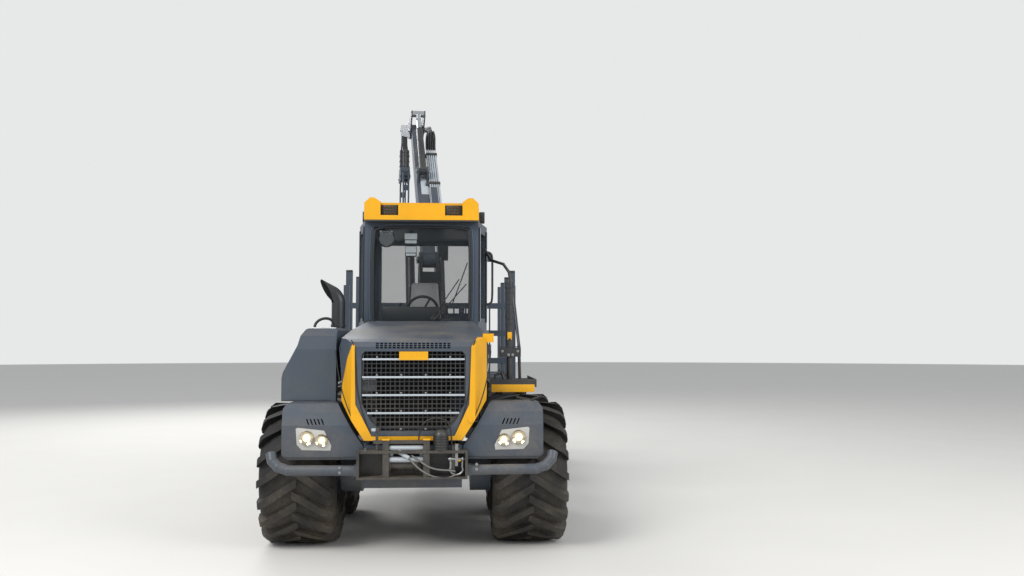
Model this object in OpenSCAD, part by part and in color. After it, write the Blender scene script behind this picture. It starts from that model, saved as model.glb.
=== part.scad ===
// Forestry forwarder: eight wheels on four bogies, engine and cab in front,
// a steering joint in the middle, a crane and a log bunk behind.
// Millimetres. X points forward, Y to the machine's left, Z up.
// The origin is on the ground, under the middle of the box round everything.

/* [Overall] */
// From the winch face back to the front bogies' centre
front_reach = 1720; // [1700:10:1740]
// From the front bogies' centre to the rear bogies' centre
bogie_gap = 5200; // [5150:10:5250]
// From the rear bogies' centre back to the rear beam
rear_reach = 2980; // [2900:10:3100]
// From the front bogies' centre back to the steering joint
joint_back = 1900; // [1880:10:1920]
// From the steering joint back to the crane's column
crane_back = 730; // [720:5:745]

/* [Wheels] */
// Tyre radius out to the lugs' tips
tyre_r = 670; // [660:5:675]
// Tyre width
tyre_w = 710; // [690:5:720]
// Rim radius under the tyre's bead
rim_r = 340; // [330:5:350]
// Distance between the wheel centres of one bogie
wheel_gap = 1500; // [1480:5:1540]
// Distance between the middles of left and right tyres
wheel_track = 2170; // [2160:5:2190]
// Height of the tyre's lugs
lug_h = 45; // [35:1:50]
// Lugs on each side of a tyre's crown
lug_n = 19; // [16:1:20]
// Radius of a wheel spindle
spindle_r = 120; // [110:5:130]

/* [Front half] */
// Width over the front frame's side plates
frame_w = 880; // [840:10:900]
// Half width of the hood at its shoulder
hood_half = 690; // [670:5:700]
// Height of the hood's front edge
hood_front_z = 1950; // [1900:10:1980]
// Height of the hood at the windshield
hood_rear_z = 2160; // [2120:10:2190]
// Thickness of the hood's sheet
hood_t = 10; // [8:1:14]
// Thickness of the fenders' sheet
fender_t = 12; // [10:1:16]

/* [Cab] */
// Half width of the cab at the doors
cab_half = 730; // [715:5:740]
// Half width of the cab at the windshield
cab_front_half = 620; // [590:5:640]
// Underside of the cab's floor
cab_low = 1540; // [1535:1:1550]
// Underside of the cab's roof
cab_high = 3260; // [3200:10:3300]
// Thickness of cab walls and door
cab_t = 60; // [50:2:70]

/* [Rear half] */
// Half distance between the rear frame's beams
beam_y = 350; // [330:5:370]
// Top of the rear frame
deck_z = 1250; // [1230:5:1270]
// Half width over the stakes
bunk_half = 1240; // [1200:10:1260]
// Top of the stakes
stake_z = 3000; // [2900:20:3100]

/* [Crane] */
// Angle of the crane from straight back, as parked
crane_turn = 7; // [5:1:9]
// Height of the boom's pivot
boom_z = 3050; // [3030:5:3070]
// Length of the main boom between its pivots
boom_l = 3200; // [3100:20:3260]
// Angle of the main boom above level, as parked
boom_up = 45; // [43:1:47]
// Length of the jib's box from its pivot
jib_l = 2430; // [2330:20:2530]
// Angle of the jib above level, as parked
jib_up = 13; // [11:1:15]
// Width of the main boom
boom_w = 170; // [160:2:176]

/* [Output] */
// Which node to draw

/* [Hidden] */
$fn = 48;
total_l = front_reach + bogie_gap + rear_reach;
front_x = total_l / 2;
rear_x = -total_l / 2;
bogie_f = front_x - front_reach;
bogie_r = bogie_f - bogie_gap;
joint_x = bogie_f - joint_back;
crane_x = joint_x - crane_back;
wheel_y = wheel_track / 2;
axle_z = 720;
tyre_in = wheel_y - tyre_w / 2;
fit = 0.3;
lug_slant = 250;
case_y = tyre_in - 10;
case_t = 200;
frame_lo = 620;
frame_hi = 1060;
plate = 30;
pin_z = 850;
steer_in = 260;
steer_arm = 200;
steer_x = bogie_f - 1130;
frame_end = joint_x + 110;
joint_end = joint_x - 330;
hood_back = bogie_f - 90;
hood_face = front_x - 160;
hood_low = 1040;
grille_z = 1130;
grille_band = 161.5;
hinge_x = hood_face - 55;
hinge_z = 1155;
cab_back = joint_x + 120;
cab_front = bogie_f - 170;
cab_side_front = bogie_f - 750;
door_x0 = joint_x + 240;
door_x1 = cab_side_front - 40;
door_z0 = 1650;
door_z1 = 3190;
gap = 5;
board_x = bogie_r + 1870;
bunk_last = rear_x + 350;
bunk_x = [bogie_r + 1370, bogie_r, (bogie_r + bunk_last) / 2 - 55, bunk_last];
axle_r = 165;
pad_gap = 0.3;
door_pin_r = 14;
door_pin_y = cab_half + 30;
door_hinge_z = [1850, 2900];
boom_foot = 1000;
boom_eye = 110;
lift_x = 230;
lift_z = 2050;
jib_foot = 1700;
jib_foot_h = 270;
horn_x = -300;
horn_z = 270;
jib_w = 180;
jib_h = 200;
ext_out = 500;
ext_ear = 430;
ext_w = jib_w / 2 - gap;
ext_h = jib_h / 2 - 10 - gap;
jib_fold = boom_up - jib_up;

// The parked crane's plane has its own frame: x out along the boom from the
// column's axis, y to the side, z up.
tip_x = boom_l * cos(boom_up);
tip_z = boom_z + boom_l * sin(boom_up);
hang_x = tip_x + (jib_l + ext_out) * cos(jib_up);
hang_z = tip_z + (jib_l + ext_out) * sin(jib_up);

slate = [0.16, 0.18, 0.21];
yellow = [0.95, 0.70, 0.05];
black = [0.05, 0.05, 0.06];
steel = [0.65, 0.67, 0.70];
glass = [0.55, 0.68, 0.72, 0.4];

// A box between two corners.
module block(p, q) {
  translate(p) cube(q - p);
}

// A round bar between two points.
module bar(p, q, r) {
  v = q - p;
  translate(p)
    rotate([0, acos(v[2] / norm(v)), atan2(v[1], v[0])])
      cylinder(r = r, h = norm(v));
}

// A round tube through a list of points, with a ball at each bend.
module tube(points, r) {
  for (i = [1 : len(points) - 1]) {
    bar(points[i - 1], points[i], r);
  }
  for (i = [1 : 1 : len(points) - 2]) {
    translate(points[i]) sphere(r = r + 2);
  }
}

// A round bar along Y about its middle.
module cross_bar(p, r, l) {
  translate([p[0], p[1] - l / 2, p[2]])
    rotate([-90, 0, 0])
      cylinder(r = r, h = l);
}

// An outline in X and Z, drawn out along Y from y0 to y1.
module side_sheet(y0, y1) {
  translate([0, y1, 0])
    rotate([90, 0, 0])
      linear_extrude(height = y1 - y0)
        children();
}

// An outline in Y and Z, drawn out along X from x0 to x1.
module front_sheet(x0, x1) {
  translate([x0, 0, 0])
    rotate([90, 0, 90])
      linear_extrude(height = x1 - x0)
        children();
}

module both_sides() {
  children();
  mirror([0, 1, 0]) children();
}

module at_crane() {
  translate([crane_x, 0, 0])
    rotate([0, 0, 180 + crane_turn])
      children();
}

// The boom's own frame: x along the boom from its pivot.
module at_boom() {
  at_crane()
    translate([0, 0, boom_z])
      rotate([0, -boom_up, 0])
        children();
}

// The jib's own frame: x along the jib from its pivot.
module at_jib() {
  at_crane()
    translate([tip_x, 0, tip_z])
      rotate([0, -jib_up, 0])
        children();
}

// Front half

module front_frame() {
  color(slate) {
    difference() {
      union() {
        both_sides() {
          block([frame_end, frame_w / 2 - plate, frame_lo], [front_x - 190, frame_w / 2, frame_hi]);
        }
        block([frame_end + 200, -frame_w / 2 + plate, frame_lo], [front_x - 300, frame_w / 2 - plate, frame_lo + 25]);
      }
      cross_bar([bogie_f, 0, axle_z], axle_r + fit, 1200);
      translate([bogie_f, 0, axle_z]) sphere(r = axle_r + 80);
      // Room for the hood's lip as it tilts
      block([front_x - 350, -500, frame_hi - 60], [front_x, 500, frame_hi + 10]);
    }
    // Carriers of the engine
    for (x = [bogie_f + 200, bogie_f + 1000]) {
      block([x, -frame_w / 2 + plate, frame_hi - 160], [x + 100, frame_w / 2 - plate, frame_hi - 100]);
    }
    block([frame_end, -frame_w / 2 + plate, frame_lo], [frame_end + 60, frame_w / 2 - plate, frame_lo + 100]);
    block([front_x - 230, -frame_w / 2 + plate, frame_lo], [front_x - 190, frame_w / 2 - plate, frame_hi - 60]);
    // Ears of the steering joint
    for (z = [frame_lo, frame_hi - 60]) {
      difference() {
        union() {
          translate([joint_x, 0, z]) cylinder(r = 150, h = 60);
          block([joint_x, -150, z], [frame_end + 60, 150, z + 60]);
          block([frame_end, -frame_w / 2 + plate, z], [frame_end + 60, frame_w / 2 - plate, z + 60]);
        }
        translate([joint_x, 0, z - 1]) cylinder(r = 60 + fit, h = 62);
      }
    }
    // Cab carriers
    for (x = [cab_back + 150, cab_front - 200]) {
      block([x - 50, -500, frame_hi], [x + 50, 500, cab_low]);
    }
    // Anchors of the steering cylinders
    both_sides() {
      for (z = [pin_z - 95, pin_z + 65]) {
        difference() {
          block([steer_x - 70, steer_in - 60, z], [steer_x + 70, frame_w / 2 - plate, z + 30]);
          translate([steer_x, steer_in, z - 1]) cylinder(r = 24 + fit, h = 32);
        }
      }
    }
    // Ears and pin of the hood's hinge
    both_sides() {
      block([hinge_x - 175, 366, frame_hi - 75], [hinge_x - 135, 381, hinge_z + 20]);
      block([hinge_x - 175, 366, hinge_z - 20], [hinge_x, 381, hinge_z + 20]);
      block([hinge_x - 175, 366, frame_hi - 75], [hinge_x - 135, frame_w / 2, frame_hi - 61]);
      cross_bar([hinge_x, 373.5, hinge_z], 24, 15);
    }
    cross_bar([hinge_x, 0, hinge_z], 12, 830);
  }
}

module axle_beam(x, top) {
  difference() {
    union() {
      cross_bar([x, 0, axle_z], axle_r, 2 * (case_y - case_t) - 2 * fit);
      translate([x, 0, axle_z]) sphere(r = axle_r + 70);
      both_sides()
        block([x - 130, 330, axle_z], [x + 130, frame_w / 2 - plate, top]);
    }
    // Bores of the bogie pivots
    both_sides()
      translate([x, 400, axle_z]) rotate([-90, 0, 0]) cylinder(r = 90 + fit, h = 200);
  }
}

module front_axle() {
  color(slate) axle_beam(bogie_f, frame_hi - 60);
}

module engine() {
  color(steel) block([bogie_f + 150, -330, frame_hi - 100], [bogie_f + 1150, 330, 1800]);
}

// Bracket on the frame's left side that carries the cowl or the platform, up to a height.
module side_carrier(top) {
  block([bogie_f + 100, frame_w / 2, frame_hi - 20], [bogie_f + 180, 720, frame_hi + 40]);
  block([bogie_f + 100, 695, frame_hi - 20], [bogie_f + 180, 720, top]);
  block([bogie_f + 100, 695, top - 50], [bogie_f + 180, 800, top]);
}

module side_cowl() {
  x0 = bogie_f - 60;
  x1 = hood_face - 190;
  color(slate) {
    mirror([0, 1, 0]) side_carrier(1565);
    intersection() {
      front_sheet(x0, x1)
        polygon([
          [-1215, 1375], [-720, 1375], [-720, 2045], [-745, 2070], [-960, 2070],
          [-1010, 2050], [-1050, 1990], [-1075, 1900], [-1205, 1650], [-1215, 1600]
        ]);
      side_sheet(-1300, -600)
        polygon([
          [x0, 1560], [x1 - 190, 1560], [x1 - 130, 1390], [x1, 1390], [x1 + 1, 1860],
          [x1 - 20, 1990], [x1 - 90, 2060], [x1 - 130, 2070], [x0 + 60, 2070], [x0, 2010]
        ]);
    }
  }
}

module exhaust() {
  x = bogie_f + 200;
  y = -850;
  color(black) {
    tube([[x, y, 2070], [x, y, 2450], [x + 30, y - 110, 2580]], 70);
  }
}

// A headlamp's outline on the fender, made smaller by d. Columns: Y, Z.
module lamp_outline(d) {
  polygon([
    [742 + d, 955 + d], [1000 - d, 960 + d], [1045 - d, 1010 + d], [1055 - d, 1150 - d],
    [1040 - d, 1162 - d], [800 + d, 1135 - d], [735 + d, 1000 + d]
  ]);
}

module front_fenders() {
  x0 = bogie_f + 1180;
  x1 = front_x - 200;
  both_sides()
    color(slate) {
      difference() {
        intersection() {
          front_sheet(x0, x1)
            polygon([
              [450, 860], [1120, 860], [1180, 920], [1180, 1330], [1150, 1372],
              [1110, 1388], [716, 1388], [690, 1372], [540, 1120], [450, 990]
            ]);
          side_sheet(400, 1200)
            polygon([
              [x1 - 30, 860], [x1, 900], [x1, 1180], [x1 - 35, 1300], [x1 - 90, 1372],
              [x1 - 130, 1388], [x0, 1388], [x0, 860]
            ]);
        }
        intersection() {
          front_sheet(x0 - 80, x1 - fender_t)
            polygon([
              [449, 840], [1110, 840], [1180 - fender_t, 930], [1180 - fender_t, 1320],
              [1145, 1372 - fender_t], [1105, 1388 - fender_t], [724, 1388 - fender_t],
              [702, 1368], [552, 1118], [449, 972]
            ]);
          side_sheet(300, 1300)
            polygon([
              [x1 - fender_t - 30, 800], [x1 - fender_t, 905], [x1 - fender_t, 1178],
              [x1 - fender_t - 34, 1293], [x1 - fender_t - 88, 1362],
              [x1 - 135, 1388 - fender_t], [x0 - 80, 1388 - fender_t], [x0 - 80, 800]
            ]);
        }
        // Arch over the tyre, as far as the bogie lets it rise
        for (z = [tyre_r, tyre_r + 160]) {
          cross_bar([bogie_f + wheel_gap / 2, 0, z], tyre_r + 35, 3000, $fn = 160);
        }
        // Lamp opening and vent slits
        front_sheet(x1 - 100, x1 + 10) lamp_outline(0);
        front_sheet(x1 - 100, x1 + 10)
          for (i = [0 : 4]) {
            polygon([
              [800 + i * 33, 1185], [814 + i * 33, 1187], [836 + i * 33, 1240], [822 + i * 33, 1238]
            ]);
          }
      }
      // Bracket to the frame
      block([x1 - 40, frame_w / 2, 880], [x1 - fender_t + 4, 600, 960]);
    }
}

module lamps() {
  x1 = front_x - 200;
  color(steel) {
    both_sides() {
      // Pod in the fender's opening, with two round lamps
      difference() {
        union() {
          front_sheet(x1 - 60, x1 + 4) lamp_outline(4);
          front_sheet(x1 - 60, x1 - fender_t) lamp_outline(-12);
        }
        front_sheet(x1 - 22, x1 + 10) lamp_outline(16);
      }
      for (p = [[955, 1068, 52], [820, 1048, 44]]) {
        translate([x1 - 30, p[0], p[1]])
          rotate([0, 90, 0])
            cylinder(r = p[2], h = 28);
      }
    }
    for (y = [-350, 350]) {
      block([cab_front - 10, y - 85, cab_high + 50], [cab_front + 55, y + 85, cab_high + 170]);
    }
  }
}

winch_y = 490;

module bumper_tubes() {
  color(black)
    both_sides() {
      tube([
        [front_x - 90, 500, 790], [front_x - 90, 1100, 795], [front_x - 100, 1190, 825],
        [front_x - 120, 1245, 880], [front_x - 150, 1262, 940]
      ], 46);
      block([front_x - 190, winch_y, 745], [front_x - 40, 520, 835]);
    }
}

module winch() {
  y0 = -winch_y;
  y1 = winch_y;
  color(slate) {
    difference() {
      union() {
        block([front_x - 190, y0, 720], [front_x - 170, y1, 970]);
        block([front_x - 190, y0, 720], [front_x, y1, 738]);
        block([front_x - 190, y0, 946], [front_x - 10, y1, 970]);
        for (y = [y0, y1 - 22]) {
          block([front_x - 190, y, 720], [front_x, y + 22, 970]);
        }
      }
      // Bolt holes in the top plate
      for (x = [-40, 40], y = [-420, 410]) {
        translate([front_x - 115 + x, y, 900]) cylinder(r = 11, h = 100);
      }
    }
    // Posts of the rope guide
    for (y = [-262, 98]) {
      block([front_x - 88, y, 738], [front_x - 18, y + 55, 1060]);
    }
    block([front_x - 75, -345, 1031], [front_x - 25, 150, 1060]);
    // Lug that holds the shackle
    block([front_x - 120, 350, 735], [front_x - 40, 375, 1010]);
  }
  color(steel) {
    // Guide rollers
    for (z = [890, 992]) {
      cross_bar([front_x - 60, -82, z], 24, 310);
    }
    // Rope drum behind
    cross_bar([front_x - 115, -82, 835], 46, 310);
    for (y = [-200, 36]) {
      cross_bar([front_x - 115, y, 835], 74, 14);
    }
  }
  color(black) {
    // Locking pin
    translate([front_x - 50, -315, 960]) cylinder(r = 12, h = 190);
    translate([front_x - 50, -315, 1140]) cylinder(r = 24, h = 26);
    // Domed cap on the box
    translate([front_x - 72, 250, 968]) cylinder(r = 66, h = 120);
    translate([front_x - 72, 250, 1088]) sphere(r = 67);
  }
}

module access() {
  px = bogie_f + 1150;
  color(black)
    difference() {
      union() {
        block([bogie_f + 60, 700, 1505], [px, 1150, 1545]);
        side_carrier(1510);
        // Post with its cap, collar and bracket
        translate([bogie_f + 960, 900, 1540]) cylinder(r = 27, h = 300);
        translate([bogie_f + 960, 900, 1790]) cylinder(r = 35, h = 700);
        for (z = [2160, 2480]) {
          translate([bogie_f + 960, 900, z]) cylinder(r = 43, h = 34);
        }
        block([bogie_f + 920, 800, 1790], [bogie_f + 1000, 1010, 1880]);
        // Grab loop on the platform
        tube([
          [bogie_f + 1110, 745, 1540], [bogie_f + 1110, 760, 1620],
          [bogie_f + 1110, 820, 1640], [bogie_f + 1110, 850, 1540]
        ], 11);
        // Kick rail round the platform
        block([px - 12, 700, 1505], [px, 1150, 1580]);
        block([bogie_f + 60, 1138, 1505], [px, 1150, 1580]);
        // Handrail from the cab's front corner
        tube([
          [bogie_f + 380, 1040, 1530], [bogie_f + 380, 1030, 1900], [bogie_f + 170, 980, 2460],
          [bogie_f - 80, 950, 2700], [bogie_f - 280, 900, 2800], [bogie_f - 480, 770, 2860],
          [cab_side_front + 120, cab_half - 30, 3000]
        ], 16);
      }
      cab_body(0);
    }
}

// Cab

module cab_plan(d) {
  polygon([
    [cab_back + d, -cab_half + 80 + d], [cab_back + 80 + d, -cab_half + d],
    [cab_side_front - d / 2, -cab_half + d], [cab_front - d, -cab_front_half + d],
    [cab_front - d, cab_front_half - d], [cab_side_front - d / 2, cab_half - d],
    [cab_back + 80 + d, cab_half - d], [cab_back + d, cab_half - 80 - d]
  ]);
}

module cab_body(d) {
  translate([0, 0, cab_low + d])
    linear_extrude(height = cab_high - cab_low - 2 * d)
      cab_plan(d);
}

// Window openings of the cab: which wall, then low and high corners.
module cab_cuts(t) {
  // Windshield
  block([cab_front - 200, -cab_front_half + 100, 2165], [cab_front + 10, cab_front_half - 100, 3190]);
  // Rear window
  block([cab_back - 10, -560, 2300], [cab_back + 200, 560, 3150]);
  // Right window
  block([cab_back + 160, -cab_half - 10, 2200], [cab_side_front - 60, -cab_half + 200, 3150]);
}

module cab_shell() {
  color(slate)
    difference() {
      cab_body(0);
      cab_body(cab_t);
      cab_cuts(0);
      // Slanted front corners
      both_sides()
        translate([cab_side_front, cab_half, 0])
          rotate([0, 0, atan2(cab_front_half - cab_half, cab_front - cab_side_front)])
            block([90, -200, 2200], [470, 100, 3150]);
      // Doorway
      block([door_x0, cab_half - 200, door_z0], [door_x1, cab_half + 10, door_z1]);
    }
  // Hinge pins of the door on their brackets
  color(slate)
    for (z = door_hinge_z) {
      translate([door_x1, door_pin_y, z - 30]) cylinder(r = door_pin_r, h = 90);
      translate([door_x1, door_pin_y, z - 30]) cylinder(r = 24, h = 30 - pad_gap);
      block([door_x1 + 2, cab_half - 30, z - 30], [door_x1 + 40, door_pin_y + 20, z - pad_gap]);
    }
}

module roof_plan() {
  r = cab_half - 90;
  polygon([
    [cab_back, 80 - r], [cab_back + 80, -r], [cab_side_front, -r], [cab_front, -cab_front_half],
    [cab_front, cab_front_half], [cab_side_front, r], [cab_back + 80, r], [cab_back, r - 80]
  ]);
}

module cab_roof() {
  color(yellow) {
    difference() {
      translate([0, 0, cab_high])
        linear_extrude(height = 200)
          roof_plan();
      block([cab_front - 70, -570, cab_high + 50], [cab_front + 10, 570, cab_high + 175]);
    }
    difference() {
      block([cab_front - 100, -cab_front_half, cab_high], [cab_front + 100, cab_front_half, cab_high + 50]);
      block([cab_front - 200, -10, cab_high - 10], [cab_front - 150, 10, cab_high + 60]);
    }
    both_sides()
      front_sheet(cab_front - 100, cab_front + 90)
        polygon([
          [cab_front_half - 175, cab_high + 50], [cab_front_half, cab_high + 50],
          [cab_front_half, cab_high + 186], [cab_front_half - 65, cab_high + 247],
          [cab_front_half - 115, cab_high + 240], [cab_front_half - 175, cab_high + 200]
        ]);
    block([cab_front - 70, -255, cab_high + 50], [cab_front + 60, 255, cab_high + 180]);
  }
}

module pane(p, q) {
  block(p, q);
}

module cab_glass() {
  color(glass) {
    pane([cab_front - 40, -cab_front_half + 100, 2165], [cab_front - 30, cab_front_half - 100, 3190]);
    pane([cab_back + 25, -560, 2300], [cab_back + 35, 560, 3150]);
    pane([cab_back + 160, -cab_half + 25, 2200], [cab_side_front - 60, -cab_half + 35, 3150]);
    both_sides()
      translate([cab_side_front, cab_half, 0])
        rotate([0, 0, atan2(cab_front_half - cab_half, cab_front - cab_side_front)])
          pane([90, -35, 2200], [470, -25, 3150]);
  }
}

module seat() {
  x = cab_back + 750;
  color(steel) {
    translate([x, 0, cab_low + cab_t]) cylinder(r = 120, h = 380);
    block([x - 250, -240, cab_low + 420], [x + 270, 240, cab_low + 560]);
    block([x - 290, -230, cab_low + 540], [x - 170, 230, cab_low + 1230]);
  }
}

module console() {
  color(black) {
    block([cab_front - 260, -380, cab_low + cab_t], [cab_front - 100, 380, 2250]);
  }
}

// Hood

// The hood's outline from the front, pulled in by d.
module hood_front(d) {
  polygon([
    [-420 + d, hood_low + d], [420 - d, hood_low + d], [650 - d, 1400], [hood_half - d, 1880],
    [640 - d, 2060 - d], [560, hood_rear_z - d], [-560, hood_rear_z - d],
    [-640 + d, 2060 - d], [-hood_half + d, 1880], [-650 + d, 1400]
  ]);
}

// The hood's outline from the side, pulled in by d.
module hood_side(d) {
  side_sheet(-1000, 1000)
    polygon([
      [hood_back, hood_low - 20], [hood_face - d, hood_low - 20],
      [hood_face - d, hood_front_z - 60], [hood_face - 25 - d, hood_front_z - 15 - d],
      [hood_face - 90, hood_front_z + 10 - d], [hood_face - 700, hood_front_z + 95 - d],
      [hood_back, hood_rear_z - d]
    ]);
}

// The hood's outline from above, pulled in by d.
module hood_plan(d) {
  translate([0, 0, 900])
    linear_extrude(height = 1400)
      polygon([
        [hood_back, -1000], [hood_face - 170, -1000], [hood_face - 170, -hood_half + 15 + d],
        [hood_face - 40, -585 + d], [hood_face - d, -545 + d],
        [hood_face - d, 545 - d], [hood_face - 40, 585 - d],
        [hood_face - 170, hood_half - 15 - d], [hood_face - 170, 1000], [hood_back, 1000]
      ]);
}

module hood_form(d, x0) {
  intersection() {
    front_sheet(x0, hood_face + 100) hood_front(d);
    hood_side(d);
    hood_plan(d);
  }
}

// The grille's field, made smaller by d.
module grille_field(d) {
  for (s = [0, 1]) {
    mirror([s, 0])
      polygon([
        [470 - d, 1815 - d / 2], [440 - d / 2, 1848 - d], [-1, 1848 - d], [-1, grille_z + d],
        [300 - d / 2, grille_z + d], [385 - d, 1225 + d / 2], [470 - d, 1385 + d / 3]
      ]);
  }
}

module hood() {
  color(slate)
    difference() {
      hood_form(0, hood_back);
      difference() {
        hood_form(hood_t, hood_back - 10);
        front_sheet(hood_face - 20, hood_face) translate([-1000, 500]) square([2000, 2000]);
      }
      // Open underneath
      block([hood_back - 10, -800, hood_low - 30], [hood_face - 20, 800, 1120]);
      // Opening for the grille
      front_sheet(hood_face - 50, hood_face + 10) grille_field(0);
      // Vent slots above the grille
      front_sheet(hood_face - 50, hood_face + 10)
        for (i = [0 : 17], j = [0 : 2]) {
          translate([-342 + i * 38, 1874 + j * 19]) square([27, 13]);
        }
    }
  // Hinge brackets
  color(slate)
    both_sides()
      difference() {
        union() {
          cross_bar([hinge_x, 397, hinge_z], 22, 20);
          block([hinge_x, 387, hinge_z - 20], [hood_face - 15, 407, hinge_z + 20]);
        }
        cross_bar([hinge_x, 397, hinge_z], 12 + fit, 30);
      }
}

module grille() {
  x0 = hood_face - 20;
  color(black) {
    // Frame behind the opening
    front_sheet(x0 - 20, x0)
      difference() {
        grille_field(-18);
        grille_field(4);
      }
    // Wire mesh
    front_sheet(x0 - 14, x0 - 8)
      difference() {
        grille_field(-6);
        for (i = [0 : 21], j = [0 : 17]) {
          if (abs(i - 10.5) * 42 < 280 + j * 38)
            translate([-462 + i * 42 + 4, grille_z + j * grille_band / 4 + 5])
              square([34, grille_band / 4 - 9]);
        }
      }
  }
  // Cross bars
  color(steel)
    for (i = [1 : 4]) {
      y = i == 1 ? 414 : 466;
      z = grille_z + i * grille_band;
      block([x0 - 12, -y, z - 7], [hood_face - 2, y, z + 7]);
    }
}

module hood_stripes() {
  color(yellow) {
    intersection() {
      difference() {
        hood_form(-12, hood_face - 150);
        hood_form(0, hood_face - 160);
      }
      front_sheet(hood_face - 140, hood_face + 30)
        polygon([
          [-372, 1085], [372, 1085], [505, 1370], [522, 1890], [560, 1950], [640, 2062],
          [705, 1890], [665, 1395], [440, hood_low + 8], [-440, hood_low + 8], [-665, 1395],
          [-650, 1560], [-600, 1790], [-545, 1925], [-530, 1900], [-520, 1370]
        ]);
    }
    // Blank plate in the grille's top band
    block([hood_face - 2, -130, grille_z + 4 * grille_band - 7], [hood_face + 8, 130, 1846]);
    // Latch on the left side
    difference() {
      block([hood_face - 190, hood_half - 60, 1930], [hood_face - 130, hood_half + 40, 2010]);
      hood_form(0, hood_back);
    }
  }
}

// Door

module door() {
  y0 = cab_half - cab_t;
  color(slate)
    difference() {
      block([door_x0 + gap, y0, door_z0 + gap], [door_x1 - gap, cab_half, door_z1 - gap]);
      block([door_x0 + 80, y0 - 10, 2150], [door_x1 - 80, cab_half + 10, door_z1 - 80]);
    }
  // Knuckles on the hinge pins
  color(slate)
    for (z = door_hinge_z) {
      difference() {
        union() {
          translate([door_x1, door_pin_y, z]) cylinder(r = 24, h = 60);
          block([door_x1 - 60, cab_half - 5, z], [door_x1, door_pin_y + 9, z + 60]);
        }
        translate([door_x1, door_pin_y, z - 1]) cylinder(r = door_pin_r + fit, h = 62);
      }
    }
}

module door_glass() {
  color(glass)
    block([door_x0 + 80, cab_half - 35, 2150], [door_x1 - 80, cab_half - 25, door_z1 - 80]);
}

// Running gear

// One bogie case about its pivot, on the machine's left side.
module bogie(x) {
  dz = tyre_r - axle_z;
  color(slate)
    translate([x, 0, axle_z]) {
      side_sheet(case_y - case_t, case_y) {
        polygon([
          [-wheel_gap / 2, dz - 190], [-250, -200], [250, -200], [wheel_gap / 2, dz - 190],
          [wheel_gap / 2, dz + 190], [250, 210], [-250, 210], [-wheel_gap / 2, dz + 190]
        ]);
        for (s = [-1, 1]) {
          translate([s * wheel_gap / 2, dz]) circle(r = 190);
        }
      }
      cross_bar([0, case_y - case_t - 40, 0], 90, 80);
      for (s = [-1, 1]) {
        translate([s * wheel_gap / 2, case_y - 5, dz])
          rotate([-90, 0, 0])
            cylinder(r = spindle_r, h = 200);
      }
    }
}

// Half the profile of the tyre's casing, from bead to crown.
// Columns: radius, distance from the tyre's middle.
casing = [
  [rim_r - 8, 0], [rim_r - 8, 285], [rim_r + 12, 318], [rim_r + 60, 340],
  [rim_r + 140, tyre_w / 2], [tyre_r - 110, tyre_w / 2 - 5],
  [tyre_r - lug_h - 20, tyre_w / 2 - 55], [tyre_r - lug_h, 180], [tyre_r - lug_h, 0]
];

// The ring that the lugs' tips lie on.
tips = [
  [tyre_r - lug_h - 60, 0], [tyre_r - lug_h - 60, tyre_w / 2 - 20],
  [tyre_r - 110, tyre_w / 2], [tyre_r - 60, tyre_w / 2], [tyre_r, tyre_w / 2 - 60], [tyre_r, 0]
];

module turned(half) {
  rotate([-90, 0, 0])
    rotate_extrude($fn = 72)
      polygon(concat(half, [for (i = [len(half) - 2 : -1 : 1]) [half[i][0], -half[i][1]]]));
}

// Slanted lugs, left and right of the crown by turns.
module lugs() {
  intersection() {
    turned(tips);
    for (i = [0 : 2 * lug_n - 1]) {
      rotate([0, i * 180 / lug_n, 0])
        mirror([0, i % 2, 0])
          translate([0, 0, tyre_r - lug_h - 60])
            linear_extrude(height = lug_h + 80)
              polygon([[-34, -14], [30, -26], [lug_slant + 46, tyre_w / 2 + 5], [lug_slant - 42, tyre_w / 2 + 5]]);
    }
  }
}

module wheel_left(x) {
  color(black)
    translate([x, wheel_y, tyre_r]) {
      turned(casing);
      lugs();
      rotate([-90, 0, 0])
        rotate_extrude($fn = 72)
          polygon([
            [spindle_r + fit, -170], [230, -170], [250, -120], [rim_r - 30, -120],
            [rim_r - 30, -280], [rim_r + 6, -300], [rim_r + 6, -314],
            [rim_r - 8, -285], [rim_r - 8, 285], [rim_r + 6, 314], [rim_r + 6, 300],
            [rim_r - 30, 280], [rim_r - 30, 60], [235, 20], [225, 40], [180, 45],
            [165, 150], [150, 165], [70, 170], [60, 182], [0, 182], [0, -110],
            [spindle_r + fit, -110]
          ]);
    }
}

module wheel(n, side) {
  x = (n < 3 ? bogie_f : bogie_r) + (n % 2 == 1 ? 1 : -1) * wheel_gap / 2;
  mirror([0, side, 0]) wheel_left(x);
}

// Centre joint

module centre_joint() {
  color(slate) {
    difference() {
      union() {
        translate([joint_x, 0, frame_lo + 60 + gap])
          cylinder(r = 100, h = frame_hi - frame_lo - 120 - 2 * gap);
        block([joint_end + 60, -170, frame_lo + 70], [joint_x - 40, 170, frame_hi - 70]);
        translate([joint_end + 60, 0, pin_z]) rotate([0, 90, 0]) cylinder(r = 210, h = 60);
      }
    }
    // Pin through the ears
    translate([joint_x, 0, frame_lo - 20]) cylinder(r = 60, h = frame_hi - frame_lo + 40);
    // Shaft of the roll bearing
    translate([joint_end - 130, 0, pin_z]) rotate([0, 90, 0]) cylinder(r = 120, h = 200);
    // Arms that the steering cylinders push on
    both_sides()
      for (z = [pin_z - 75, pin_z + 45]) {
        difference() {
          hull_arm(z);
          translate([joint_x - steer_arm, steer_in, z - 1]) cylinder(r = 25 + fit, h = 32);
        }
      }
  }
}

module hull_arm(z) {
  block([joint_x - steer_arm - 45, 150, z], [joint_x - steer_arm + 45, steer_in, z + 30]);
  translate([joint_x - steer_arm, steer_in, z]) cylinder(r = 45, h = 30);
}

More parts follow.
